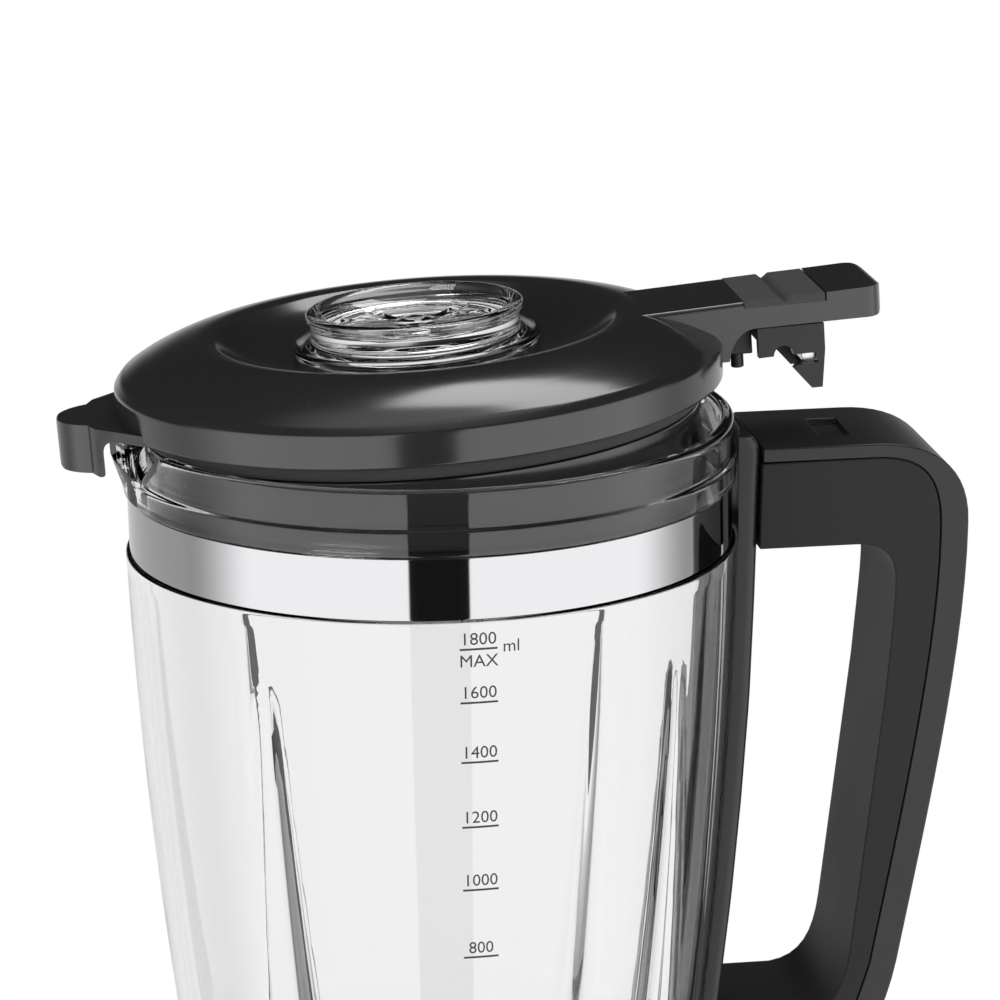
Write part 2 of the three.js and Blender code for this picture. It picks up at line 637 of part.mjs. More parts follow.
function driveCoupling() {
  const hub = turned([[0, 153.2], [13, 153.2], [14, 150.6], [8, 149], [8, 143], [0, 143]], 20);
  return cut(join(hub, planSlab(star(14, 3, 6), 152, 160)), disc(5.3, 140, 150.4, 16), disc(4.3, 140, 154.4, 16));
}

const brushHolder = (sign) => block(sign > 0 ? 12.9 : -34, sign > 0 ? 34 : -12.9, -5, 5, 33, 43);

function cordGland() {
  const y = housingHalf(24);
  const g = turned([[3.8, -12], [7.9, -12], [7.9, 1.2], [10.5, 1.5], [10.5, 4], [6.4, 16], [3.8, 16]], 16);
  return g.rotateX(-Math.PI / 2).translate(0, y, 24);
}

// ---- assembly ----
add('base_housing', baseHousing(), brushedSteel);
add('base_deck', baseDeck(), blackSatin);
add('bottom_cover', bottomCover(), blackMatte);
[[-1, -1], [1, -1], [1, 1], [-1, 1]].forEach(([sx, sy], i) =>
  add(`foot_${i + 1}`, foot().translate(sx * footAt, sy * footAt, 0), darkRubber));
add('control_panel', controlPanel(), blackGloss);
add('knob_ring', knobRing(), polishedSteel);
add('speed_knob', speedKnob(), blackSatin);
add('dial_switch', dialSwitch(), blackMatte);
['pulse', 'ice', 'smoothie'].forEach((name, i) => add(`button_${name}`, button(buttonXs[i]), brushedSteel));
add('circuit_board', circuitBoard(), boardGreen);
add('jug_sensor', sensorBlock(), blackMatte);
add('cord_gland', cordGland(), darkRubber);
add('motor_stator', motorStator(), laminations);
add('winding_upper', fieldWinding(100.3, 106), copper);
add('winding_lower', fieldWinding(46, 51.7), copper);
add('motor_bracket_upper', motorBracket(109, 113, 11), laminations);
add('motor_bracket_lower', motorBracket(25, 27.4, 11), laminations);
add('bearing_upper', bearing(109.4, 117), polishedSteel);
add('bearing_lower', bearing(24.4, 27.6), polishedSteel);
add('brush_holder_left', brushHolder(-1), carbon);
add('brush_holder_right', brushHolder(1), carbon);
add('motor_shaft', motorShaft(), polishedSteel);
add('armature', armature(), laminations);
add('commutator', commutator(), copper);
add('cooling_fan', coolingFan(), blackMatte);
add('drive_coupling', driveCoupling(), blackMatte);

add('jug_glass', jugGlass(), clearGlass);
add('steel_band', steelBand(), polishedSteel);
add('jug_spine', jugSpine(), blackSatin);
add('handle_shell', handleShell(), blackSatin);
add('handle_grip', handleGrip(), blackSatin);
screwHeights.forEach((z, i) => add(`handle_screw_${i + 1}`, handleScrew(z), brushedSteel));
add('jug_collar', jugCollar(), blackSatin);
add('jug_magnet', jugMagnet(), brushedSteel);
add('blade_holder', bladeHolder(), brushedSteel);
add('jug_gasket', jugGasket(), darkRubber);
add('blade_bush', bladeBush(), brushedSteel);
add('blade_shaft', bladeShaft(), polishedSteel);
add('blade_lower', cutter(33, -1.5, 196.4), polishedSteel);
add('blade_upper', cutter(29, 9, 199).rotateZ(Math.PI / 2), polishedSteel);
add('blade_nut', bladeNut(), polishedSteel);
add('driven_coupling', drivenCoupling(), blackMatte);

add('lid_shell', lidShell(), blackGloss, lid);
add('lid_plug', lidPlug(), blackGloss, lid);
add('lid_seal', lidSeal(), darkRubber, lid);
add('lid_arm', lidArm(), blackGloss, lid);
add('arm_pad', armPad(), blackMatte, lid);
add('latch_hook', latchHook(), blackSatin, lid);
add('latch_pin', latchPin(), polishedSteel, lid);
add('hook_strip', hookStrip(), polishedSteel, lid);
add('lid_peg', lidPeg(), blackSatin, lid);
add('filler_cap', fillerCap(), clearGlass, lid);

// The lid stands ajar: a small turn that lifts its handle side.
const pivot = new THREE.Group();
pivot.position.set(lidPivotX, 0, bandZ);
pivot.rotation.y = -rad(lidAjar);
lid.position.set(-lidPivotX, 0, -bandZ);
pivot.add(lid);
object.add(pivot);

// The origin goes to the middle of the footprint, at table height.
object.updateMatrixWorld(true);
const extent = new THREE.Box3().setFromObject(object, true);
object.position.set(-(extent.min.x + extent.max.x) / 2, -(extent.min.y + extent.max.y) / 2, -extent.min.z);

export default object;
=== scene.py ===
import math
import bpy
import bmesh
from mathutils import Matrix, Vector


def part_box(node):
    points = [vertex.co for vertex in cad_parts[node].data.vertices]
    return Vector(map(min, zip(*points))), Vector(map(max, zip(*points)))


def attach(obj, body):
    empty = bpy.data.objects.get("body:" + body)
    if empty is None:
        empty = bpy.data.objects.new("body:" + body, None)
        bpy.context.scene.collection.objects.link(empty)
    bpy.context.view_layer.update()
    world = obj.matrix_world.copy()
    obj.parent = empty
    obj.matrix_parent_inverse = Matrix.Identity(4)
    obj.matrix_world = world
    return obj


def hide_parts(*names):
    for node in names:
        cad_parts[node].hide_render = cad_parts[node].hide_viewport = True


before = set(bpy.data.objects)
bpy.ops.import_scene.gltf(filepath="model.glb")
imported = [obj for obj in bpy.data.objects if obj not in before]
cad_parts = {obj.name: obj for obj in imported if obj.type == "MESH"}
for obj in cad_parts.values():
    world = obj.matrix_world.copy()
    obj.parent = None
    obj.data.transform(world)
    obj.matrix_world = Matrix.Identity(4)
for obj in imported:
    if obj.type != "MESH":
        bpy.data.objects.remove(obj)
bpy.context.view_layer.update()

# Lengths below are millimetres. Jug and lid pieces are laid out around the jug's axis with heights
# counted from the steel band's lower edge, base pieces around the same axis from the table.
bandLow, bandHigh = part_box("steel_band")
axisX, axisY = (bandLow.x + bandHigh.x) / 2, (bandLow.y + bandHigh.y) / 2
millimetre = Matrix.Scale(0.001, 4)
jugFrame = Matrix.Translation((axisX, axisY, bandLow.z)) @ millimetre
tableFrame = Matrix.Translation((axisX, axisY, 0)) @ millimetre
lidAjar = {"degrees": 3.16, "pivotX": -97.9}
lidFrame = (jugFrame @ Matrix.Translation((lidAjar["pivotX"], 0, 0))
            @ Matrix.Rotation(-math.radians(lidAjar["degrees"]), 4, "Y")
            @ Matrix.Translation((-lidAjar["pivotX"], 0, 0)))


studio = {"lens": 133.77, "pitch": 14.922, "yaw": -7.0, "roll": 0.927, "eye": (-85.63, -829.92, 230.41),
          "gapCentre": -3.3, "gapHalf": 11.2, "floorRadius": 0.62, "floorFade": (0.3, 0.5),
          "floorShade": 0.93, "screenLight": 2.4, "backLight": 0.75, "overheadLight": 1.1,
          "ambient": 0.02, "throughLight": 0.66, "throughLeast": 0.23}


def addCamera():
    camera = bpy.data.objects.new("camera", bpy.data.cameras.new("camera"))
    bpy.context.scene.collection.objects.link(camera)
    camera.data.lens = studio["lens"]
    camera.data.sensor_width = 36
    turn = (Matrix.Rotation(math.radians(studio["yaw"]), 4, "Z")
            @ Matrix.Rotation(math.radians(90 - studio["pitch"]), 4, "X")
            @ Matrix.Rotation(-math.radians(studio["roll"]), 4, "Z"))
    camera.matrix_world = Matrix.Translation(jugFrame @ Vector(studio["eye"])) @ turn
    bpy.context.scene.camera = camera


def node(tree, kind, x=0, y=0, **settings):
    made = tree.nodes.new(kind)
    made.location = (x, y)
    for key, value in settings.items():
        setattr(made, key, value)
    return made


def mathNode(tree, operation, first, second=None, third=None, clamp=False):
    made = node(tree, "ShaderNodeMath", operation=operation, use_clamp=clamp)
    for i, value in enumerate((first, second, third)):
        if value is None:
            continue
        if isinstance(value, (int, float)):
            made.inputs[i].default_value = value
        else:
            tree.links.new(value, made.inputs[i])
    return made.outputs[0]


def softStep(tree, value, low, high):
    made = node(tree, "ShaderNodeMapRange", interpolation_type="SMOOTHSTEP")
    tree.links.new(value, made.inputs["Value"])
    made.inputs["From Min"].default_value = low
    made.inputs["From Max"].default_value = high
    return made.outputs["Result"]


def addWorld():
    # White behind the object for what is seen directly or through glass; for reflections and for
    # light, tall white screens on both sides with a dark gap where the camera stands.
    world = bpy.data.worlds.new("studio")
    bpy.context.scene.world = world
    world.use_nodes = True
    tree = world.node_tree
    tree.nodes.clear()
    direction = node(tree, "ShaderNodeTexCoord").outputs["Generated"]
    split = node(tree, "ShaderNodeSeparateXYZ")
    tree.links.new(direction, split.inputs[0])
    x, y, z = split.outputs
    azimuth = mathNode(tree, "ARCTAN2", x, mathNode(tree, "MULTIPLY", y, -1))
    offset = mathNode(tree, "ABSOLUTE", mathNode(tree, "SUBTRACT", azimuth,
                                                 math.radians(studio["gapCentre"])))
    half = math.radians(studio["gapHalf"])
    beside = softStep(tree, offset, half * 0.96, half * 1.04)
    low = softStep(tree, z, 0.62, 0.36)
    ahead = softStep(tree, y, 0.35, -0.25)
    screens = mathNode(tree, "MULTIPLY", mathNode(tree, "MULTIPLY", beside, low), ahead)
    backLow = mathNode(tree, "MULTIPLY", softStep(tree, y, -0.1, 0.4), softStep(tree, z, 0.16, -0.1))
    overhead = mathNode(tree, "MULTIPLY", softStep(tree, z, 0.8, 0.97), studio["overheadLight"])
    around = mathNode(tree, "ADD", mathNode(tree, "MULTIPLY", screens, studio["screenLight"]),
                      mathNode(tree, "MULTIPLY", backLow, studio["backLight"]))
    level = mathNode(tree, "ADD", mathNode(tree, "ADD", around, overhead), studio["ambient"])
    behind = mathNode(tree, "MULTIPLY", softStep(tree, y, 0.25, 0.85), studio["throughLight"])
    through = mathNode(tree, "ADD", behind, studio["throughLeast"])
    path = node(tree, "ShaderNodeLightPath")
    mixThrough = node(tree, "ShaderNodeMix", data_type="FLOAT")
    tree.links.new(path.outputs["Is Transmission Ray"], mixThrough.inputs[0])
    tree.links.new(level, mixThrough.inputs[2])
    tree.links.new(through, mixThrough.inputs[3])
    mixCamera = node(tree, "ShaderNodeMix", data_type="FLOAT")
    tree.links.new(path.outputs["Is Camera Ray"], mixCamera.inputs[0])
    tree.links.new(mixThrough.outputs[0], mixCamera.inputs[2])
    mixCamera.inputs[3].default_value = 1.0
    background = node(tree, "ShaderNodeBackground")
    background.inputs["Color"].default_value = (1, 1, 1, 1)
    tree.links.new(mixCamera.outputs[0], background.inputs["Strength"])
    tree.links.new(background.outputs[0], node(tree, "ShaderNodeOutputWorld").inputs[0])


def addLamp(name, place, aim, size, power):
    data = bpy.data.lights.new(name, "AREA")
    data.shape = "RECTANGLE"
    data.size, data.size_y = size
    data.energy = power
    lamp = bpy.data.objects.new(name, data)
    bpy.context.scene.collection.objects.link(lamp)
    lamp.location = place
    lamp.rotation_euler = (Vector(aim) - Vector(place)).to_track_quat("-Z", "Y").to_euler()
    return lamp


def addFloor():
    bm = bmesh.new()
    bmesh.ops.create_circle(bm, cap_ends=True, segments=96, radius=studio["floorRadius"])
    mesh = bpy.data.meshes.new("floor")
    bm.to_mesh(mesh)
    floor = bpy.data.objects.new("floor", mesh)
    bpy.context.scene.collection.objects.link(floor)
    mat = bpy.data.materials.new("floor")
    mat.use_nodes = True
    tree = mat.node_tree
    tree.nodes.clear()
    place = node(tree, "ShaderNodeTexCoord").outputs["Object"]
    length = node(tree, "ShaderNodeVectorMath", operation="LENGTH")
    tree.links.new(place, length.inputs[0])
    fade = softStep(tree, length.outputs["Value"], *studio["floorFade"])
    pale = node(tree, "ShaderNodeBsdfPrincipled")
    pale.inputs["Base Color"].default_value = (*[studio["floorShade"]] * 3, 1)
    pale.inputs["Roughness"].default_value = 0.6
    white = node(tree, "ShaderNodeEmission")
    path = node(tree, "ShaderNodeLightPath")
    seen = mathNode(tree, "MAXIMUM", path.outputs["Is Camera Ray"], path.outputs["Is Transmission Ray"])
    mix = node(tree, "ShaderNodeMixShader")
    tree.links.new(mathNode(tree, "MULTIPLY", fade, seen), mix.inputs[0])
    tree.links.new(pale.outputs[0], mix.inputs[1])
    tree.links.new(white.outputs[0], mix.inputs[2])
    # Reflections look past the floor to the screens, which reach down below it.
    mirrored = node(tree, "ShaderNodeMixShader")
    tree.links.new(path.outputs["Is Glossy Ray"], mirrored.inputs[0])
    tree.links.new(mix.outputs[0], mirrored.inputs[1])
    tree.links.new(node(tree, "ShaderNodeBsdfTransparent").outputs[0], mirrored.inputs[2])
    tree.links.new(mirrored.outputs[0], node(tree, "ShaderNodeOutputMaterial").inputs[0])
    mesh.materials.append(mat)


bpy.context.scene.view_settings.view_transform = "Standard"
addCamera()
addWorld()
addFloor()
keyScreen = addLamp("keyScreen", (-0.75, -0.75, 1.0), (0, 0, 0.3), (0.5, 0.9), 9)
keyScreen.visible_glossy = False
addLamp("topScreen", (0.25, 0.35, 1.25), (0, 0, 0.35), (0.7, 0.35), 5)
print("camera, light and floor ready")


def newGroup(name, inputs, outputs):
    group = bpy.data.node_groups.new(name, "ShaderNodeTree")
    for socket, kind, value in inputs:
        made = group.interface.new_socket(name=socket, in_out="INPUT", socket_type=kind)
        if value is not None:
            made.default_value = value
    for socket, kind in outputs:
        group.interface.new_socket(name=socket, in_out="OUTPUT", socket_type=kind)
    return group, node(group, "NodeGroupInput", -900), node(group, "NodeGroupOutput", 700)


def noiseIn(tree, vector, scale, detail=3.0, stretch=None):
    if stretch is not None:
        mapping = node(tree, "ShaderNodeMapping")
        mapping.inputs["Scale"].default_value = stretch
        tree.links.new(vector, mapping.inputs["Vector"])
        vector = mapping.outputs[0]
    made = node(tree, "ShaderNodeTexNoise")
    made.inputs["Detail"].default_value = detail
    tree.links.new(vector, made.inputs["Vector"])
    if isinstance(scale, (int, float)):
        made.inputs["Scale"].default_value = scale
    else:
        tree.links.new(scale, made.inputs["Scale"])
    return made.outputs["Fac"]


def colourMix(tree, factor, first, second):
    mix = node(tree, "ShaderNodeMix", data_type="RGBA")
    tree.links.new(factor, mix.inputs[0])
    for value, socket in ((first, mix.inputs[6]), (second, mix.inputs[7])):
        if isinstance(value, tuple):
            socket.default_value = value
        else:
            tree.links.new(value, socket)
    return mix.outputs[2]


def mouldedGroup():
    # Moulded plastic: a fine spark-eroded grain, a slow unevenness, and a little dust on what faces up.
    group, given, put = newGroup("mouldedSkin", [
        ("Colour", "NodeSocketColor", (0.03, 0.03, 0.03, 1)), ("Dust", "NodeSocketColor", (0.3, 0.3, 0.3, 1)),
        ("Roughness", "NodeSocketFloat", 0.4), ("Grain Scale", "NodeSocketFloat", 2200.0),
        ("Grain Depth", "NodeSocketFloat", 0.1), ("Dust Amount", "NodeSocketFloat", 0.05)],
        [("Colour", "NodeSocketColor"), ("Roughness", "NodeSocketFloat"), ("Height", "NodeSocketFloat")])
    place = node(group, "ShaderNodeTexCoord").outputs["Object"]
    grain = noiseIn(group, place, given.outputs["Grain Scale"], 2.0)
    slow = noiseIn(group, place, 26.0, 4.0)
    specks = softStep(group, noiseIn(group, place, 950.0, 1.0), 0.66, 0.74)
    normal = node(group, "ShaderNodeNewGeometry").outputs["Normal"]
    split = node(group, "ShaderNodeSeparateXYZ")
    group.links.new(normal, split.inputs[0])
    upward = softStep(group, split.outputs[2], 0.2, 0.95)
    dust = mathNode(group, "MULTIPLY", mathNode(group, "MULTIPLY", upward, specks),
                    given.outputs["Dust Amount"])
    group.links.new(colourMix(group, dust, given.outputs["Colour"], given.outputs["Dust"]),
                    put.inputs["Colour"])
    uneven = mathNode(group, "MULTIPLY", mathNode(group, "SUBTRACT", slow, 0.5), 0.12)
    rough = mathNode(group, "ADD", given.outputs["Roughness"], uneven)
    rough = mathNode(group, "ADD", rough, mathNode(group, "MULTIPLY", dust, 0.5), clamp=True)
    group.links.new(rough, put.inputs["Roughness"])
    group.links.new(mathNode(group, "MULTIPLY", grain, given.outputs["Grain Depth"]), put.inputs["Height"])
    return group


def brushedGroup():
    # Metal with fine parallel scratches and faint smears.
    group, given, put = newGroup("brushedSkin", [
        ("Colour", "NodeSocketColor", (0.6, 0.6, 0.6, 1)), ("Roughness", "NodeSocketFloat", 0.3),
        ("Scratch", "NodeSocketFloat", 0.1), ("Stretch", "NodeSocketVector", (1.0, 1.0, 1.0)),
        ("Smear", "NodeSocketFloat", 0.05)],
        [("Colour", "NodeSocketColor"), ("Roughness", "NodeSocketFloat"), ("Height", "NodeSocketFloat")])
    place = node(group, "ShaderNodeTexCoord").outputs["Object"]
    scaled = node(group, "ShaderNodeVectorMath", operation="MULTIPLY")
    group.links.new(place, scaled.inputs[0])
    group.links.new(given.outputs["Stretch"], scaled.inputs[1])
    lines = noiseIn(group, scaled.outputs[0], 1.0, 2.0)
    smears = noiseIn(group, place, 34.0, 3.0)
    darker = mathNode(group, "MULTIPLY", mathNode(group, "SUBTRACT", 0.62, lines, clamp=True),
                      given.outputs["Scratch"])
    group.links.new(colourMix(group, darker, given.outputs["Colour"], (0.2, 0.2, 0.2, 1)),
                    put.inputs["Colour"])
    spread = mathNode(group, "MULTIPLY", mathNode(group, "SUBTRACT", lines, 0.5), given.outputs["Scratch"])
    smear = mathNode(group, "MULTIPLY", mathNode(group, "SUBTRACT", smears, 0.45), given.outputs["Smear"])
    rough = mathNode(group, "ADD", mathNode(group, "ADD", given.outputs["Roughness"], spread), smear,
                     clamp=True)
    group.links.new(rough, put.inputs["Roughness"])
    group.links.new(mathNode(group, "MULTIPLY", lines, given.outputs["Scratch"]), put.inputs["Height"])
    return group


mouldedSkin = mouldedGroup()
brushedSkin = brushedGroup()


def surfaceMaterial(name, group, values, bump=0.0002, strength=0.2, **constants):
    mat = bpy.data.materials.new(name)
    mat.use_nodes = True
    tree = mat.node_tree
    shader = tree.nodes["Principled BSDF"]
    skin = node(tree, "ShaderNodeGroup", -500, node_tree=group)
    for key, value in values.items():
        skin.inputs[key].default_value = value
    tree.links.new(skin.outputs["Colour"], shader.inputs["Base Color"])
    tree.links.new(skin.outputs["Roughness"], shader.inputs["Roughness"])
    relief = node(tree, "ShaderNodeBump", -250, -300)
    relief.inputs["Strength"].default_value = strength
    relief.inputs["Distance"].default_value = bump
    tree.links.new(skin.outputs["Height"], relief.inputs["Height"])
    tree.links.new(relief.outputs[0], shader.inputs["Normal"])
    for key, value in constants.items():
        shader.inputs[key.replace("_", " ")].default_value = value
    return mat


def grey(value):
    return (value, value, value * 1.02, 1)


def clearMaterial(name, index, tint, roughness):
    mat = bpy.data.materials.new(name)
    mat.use_nodes = True
    tree = mat.node_tree
    shader = tree.nodes["Principled BSDF"]
    place = node(tree, "ShaderNodeTexCoord", -900).outputs["Object"]
    # Faint ripple of pressed glass.
    ripple = noiseIn(tree, place, 42.0, 1.0)
    relief = node(tree, "ShaderNodeBump", -250, -300)
    relief.inputs["Strength"].default_value = 0.1
    relief.inputs["Distance"].default_value = 0.0004
    tree.links.new(ripple, relief.inputs["Height"])
    tree.links.new(relief.outputs[0], shader.inputs["Normal"])
    shader.inputs["Base Color"].default_value = tint
    shader.inputs["Roughness"].default_value = roughness
    shader.inputs["IOR"].default_value = index
    shader.inputs["Transmission Weight"].default_value = 1.0
    shader.inputs["Specular IOR Level"].default_value = 1.0
    return mat


glossBlack = surfaceMaterial("glossBlack", mouldedSkin, {
    "Colour": grey(0.012), "Roughness": 0.16, "Grain Scale": 900.0, "Grain Depth": 0.08, "Dust Amount": 0.02},
    bump=0.00005, strength=0.12)
satinBlack = surfaceMaterial("satinBlack", mouldedSkin, {
    "Colour": grey(0.012), "Roughness": 0.34, "Grain Scale": 2600.0, "Grain Depth": 0.4, "Dust Amount": 0.03},
    bump=0.00006, strength=0.3, Specular_IOR_Level=0.3)
gripBlack = surfaceMaterial("gripBlack", mouldedSkin, {
    "Colour": grey(0.014), "Roughness": 0.52, "Grain Scale": 2600.0, "Grain Depth": 0.4, "Dust Amount": 0.03},
    bump=0.00006, strength=0.3, Specular_IOR_Level=0.14)
matteBlack = surfaceMaterial("matteBlack", mouldedSkin, {
    "Colour": grey(0.026), "Roughness": 0.6, "Grain Scale": 3200.0, "Grain Depth": 0.6, "Dust Amount": 0.04},
    bump=0.0001, strength=0.4, Specular_IOR_Level=0.3)
darkRubber = surfaceMaterial("darkRubber", mouldedSkin, {
    "Colour": grey(0.018), "Roughness": 0.78, "Grain Scale": 1500.0, "Grain Depth": 0.6, "Dust Amount": 0.08},
    bump=0.0001, strength=0.4)
mirrorSteel = surfaceMaterial("mirrorSteel", brushedSkin, {
    "Colour": grey(0.35), "Roughness": 0.035, "Scratch": 0.02, "Stretch": (300.0, 300.0, 4000.0),
    "Smear": 0.02}, bump=0.00001, strength=0.05, Metallic=1.0)
brushedSteel = surfaceMaterial("brushedSteel", brushedSkin, {
    "Colour": grey(0.6), "Roughness": 0.3, "Scratch": 0.2, "Stretch": (60.0, 60.0, 5200.0), "Smear": 0.1},
    bump=0.00003, strength=0.25, Metallic=1.0)
satinSteel = surfaceMaterial("satinSteel", brushedSkin, {
    "Colour": grey(0.55), "Roughness": 0.24, "Scratch": 0.14, "Stretch": (2500.0, 2500.0, 300.0),
    "Smear": 0.08}, bump=0.00002, strength=0.2, Metallic=1.0)
laminatedSteel = surfaceMaterial("laminatedSteel", brushedSkin, {
    "Colour": grey(0.3), "Roughness": 0.5, "Scratch": 0.6, "Stretch": (20.0, 20.0, 1600.0), "Smear": 0.15},
    bump=0.0003, strength=0.5, Metallic=1.0)
copperWire = surfaceMaterial("copperWire", brushedSkin, {
    "Colour": (0.6, 0.27, 0.13, 1), "Roughness": 0.34, "Scratch": 0.5, "Stretch": (700.0, 700.0, 700.0),
    "Smear": 0.1}, bump=0.0003, strength=0.5, Metallic=1.0)
boardGreen = surfaceMaterial("boardGreen", mouldedSkin, {
    "Colour": (0.012, 0.07, 0.04, 1), "Roughness": 0.35, "Grain Scale": 400.0, "Grain Depth": 0.5,
    "Dust Amount": 0.1}, bump=0.0001)
printInk = surfaceMaterial("printInk", mouldedSkin, {
    "Colour": grey(0.008), "Roughness": 0.5, "Grain Scale": 2600.0, "Grain Depth": 0.3, "Dust Amount": 0.0})
paleInk = surfaceMaterial("paleInk", mouldedSkin, {
    "Colour": grey(0.62), "Roughness": 0.5, "Grain Scale": 2600.0, "Grain Depth": 0.3, "Dust Amount": 0.0})
clearGlass = clearMaterial("clearGlass", 1.5, (0.992, 0.995, 0.994, 1), 0.0)
clearPlastic = clearMaterial("clearPlastic", 1.49, (0.96, 0.965, 0.965, 1), 0.01)
print("materials ready")


def makePiece(name, bm, place, material, body, replaced=(), sharp=38):
    bmesh.ops.remove_doubles(bm, verts=bm.verts, dist=1e-4)
    bmesh.ops.dissolve_degenerate(bm, edges=bm.edges, dist=1e-5)
    bmesh.ops.recalc_face_normals(bm, faces=bm.faces)
    bm.transform(place)
    mesh = bpy.data.meshes.new(name)
    bm.to_mesh(mesh)
    bm.free()
    mesh.shade_smooth()
    mesh.set_sharp_from_angle(angle=math.radians(sharp))
    mesh.materials.append(material)
    piece = bpy.data.objects.new(name, mesh)
    bpy.context.scene.collection.objects.link(piece)
    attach(piece, body)
    if replaced:
        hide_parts(*replaced)
    return piece


def bezier(p0, p1, p2, p3, steps=12):
    points = []
    for i in range(1, steps + 1):
        t = i / steps
        a, b, c, d = (1 - t) ** 3, 3 * t * (1 - t) ** 2, 3 * t * t * (1 - t), t ** 3
        points.append(tuple(a * p0[k] + b * p1[k] + c * p2[k] + d * p3[k] for k in range(2)))
    return points


def filleted(corners, steps=5, closed=True):
    # Corners are (x, z) or (x, z, radius); a radius turns the corner into a round stretch.
    points = []
    count = len(corners)
    for i, corner in enumerate(corners):
        here = Vector(corner[:2])
        radius = corner[2] if len(corner) > 2 else 0
        ends = not closed and i in (0, count - 1)
        if radius <= 0 or ends:
            points.append(tuple(here))
            continue
        before, after = Vector(corners[i - 1][:2]) - here, Vector(corners[(i + 1) % count][:2]) - here
        first = here + before.normalized() * min(radius, before.length * 0.49)
        last = here + after.normalized() * min(radius, after.length * 0.49)
        for k in range(steps + 1):
            t = k / steps
            points.append(tuple(first * (1 - t) ** 2 + here * 2 * t * (1 - t) + last * t * t))
    return points


def held(points, closed, longest=3.0, reach=0.4):
    # Long straight stretches get a point near each end, so that their shading stays flat up to the corner.
    kept = []
    for i, here in enumerate(points):
        kept.append(here)
        if i == len(points) - 1 and not closed:
            break
        start, end = Vector(here), Vector(points[(i + 1) % len(points)])
        along = end - start
        if along.length > longest:
            step = along.normalized() * reach
            kept += [tuple(start + step), tuple(end - step)]
    return kept


def spun(profile, sides, warp=None, closed=True):
    profile = held([tuple(point[:2]) for point in profile], closed)
    bm = bmesh.new()
    rings = []
    for j in range(sides):
        angle = 2 * math.pi * j / sides
        ring = []
        for r, z in profile:
            if warp:
                r, z2 = warp(r, angle, z)
            else:
                z2 = z
            ring.append(bm.verts.new((r * math.cos(angle), r * math.sin(angle), z2)))
        rings.append(ring)
    last = len(profile) if closed else len(profile) - 1
    for j in range(sides):
        here, there = rings[j], rings[(j + 1) % sides]
        for i in range(last):
            k = (i + 1) % len(profile)
            bm.faces.new((here[i], there[i], there[k], here[k]))
    return bm


def slab(outline, y0, y1, rounds=()):
    # Side outline in x and z given thickness along y; rounds are (test on x and z, radius) for its rim edges.
    bm = bmesh.new()
    near = [bm.verts.new((x, y0, z)) for x, z in outline]
    far = [bm.verts.new((x, y1, z)) for x, z in outline]
    bm.faces.new(near)
    bm.faces.new(far[::-1])
    for i in range(len(outline)):
        k = (i + 1) % len(outline)
        bm.faces.new((near[k], near[i], far[i], far[k]))
    for test, radius in rounds:
        rim = [e for e in bm.edges if abs(e.verts[0].co.y - e.verts[1].co.y) < 1e-6
               and e.is_manifold and abs(e.calc_face_angle(0)) > 1.2
               and min(abs(e.verts[0].co.y - y0), abs(e.verts[0].co.y - y1)) < 1e-6
               and all(test(v.co.x, v.co.z) for v in e.verts)]
        bmesh.ops.bevel(bm, geom=rim, offset=radius, segments=5, profile=0.5, affect="EDGES",
                        clamp_overlap=True)
    return bm


def raised(outline, z0, z1):
    # Plan outline in x and y, raised from z0 to z1.
    bm = bmesh.new()
    low = [bm.verts.new((x, y, z0)) for x, y in outline]
    high = [bm.verts.new((x, y, z1)) for x, y in outline]
    bm.faces.new(low[::-1])
    bm.faces.new(high)
    for i in range(len(outline)):
        k = (i + 1) % len(outline)
        bm.faces.new((low[i], low[k], high[k], high[i]))
    bmesh.ops.recalc_face_normals(bm, faces=bm.faces)
    return bm


def softEdges(piece, width, segments=2, angle=50):
    bevel = piece.modifiers.new("edges", "BEVEL")
    bevel.width = width / 1000
    bevel.segments = segments
    bevel.limit_method = "ANGLE"
    bevel.angle_limit = math.radians(angle)
    weighted = piece.modifiers.new("normals", "WEIGHTED_NORMAL")
    weighted.keep_sharp = True
    return piece


jug = {"neckR": 70.0, "innerR": 66.9, "wall": 2.6, "foot": -155.0, "hole": 46.0, "rim": 28.9, "sides": 360,
       "bandTop": 13.85, "lipHalf": 21.0, "notchFloor": 20.6}
flute = {"Top": -19.0, "Low": -112.0, "Depth": 5.6, "Tip Half Width": 2.0, "Widening": 0.074,
         "Left": 38.0, "Right": 45.0}


def bodyRadius(z):
    drop = max(0.0, -z)
    return 70.8 - 0.024 * drop - 0.0004 * drop * drop


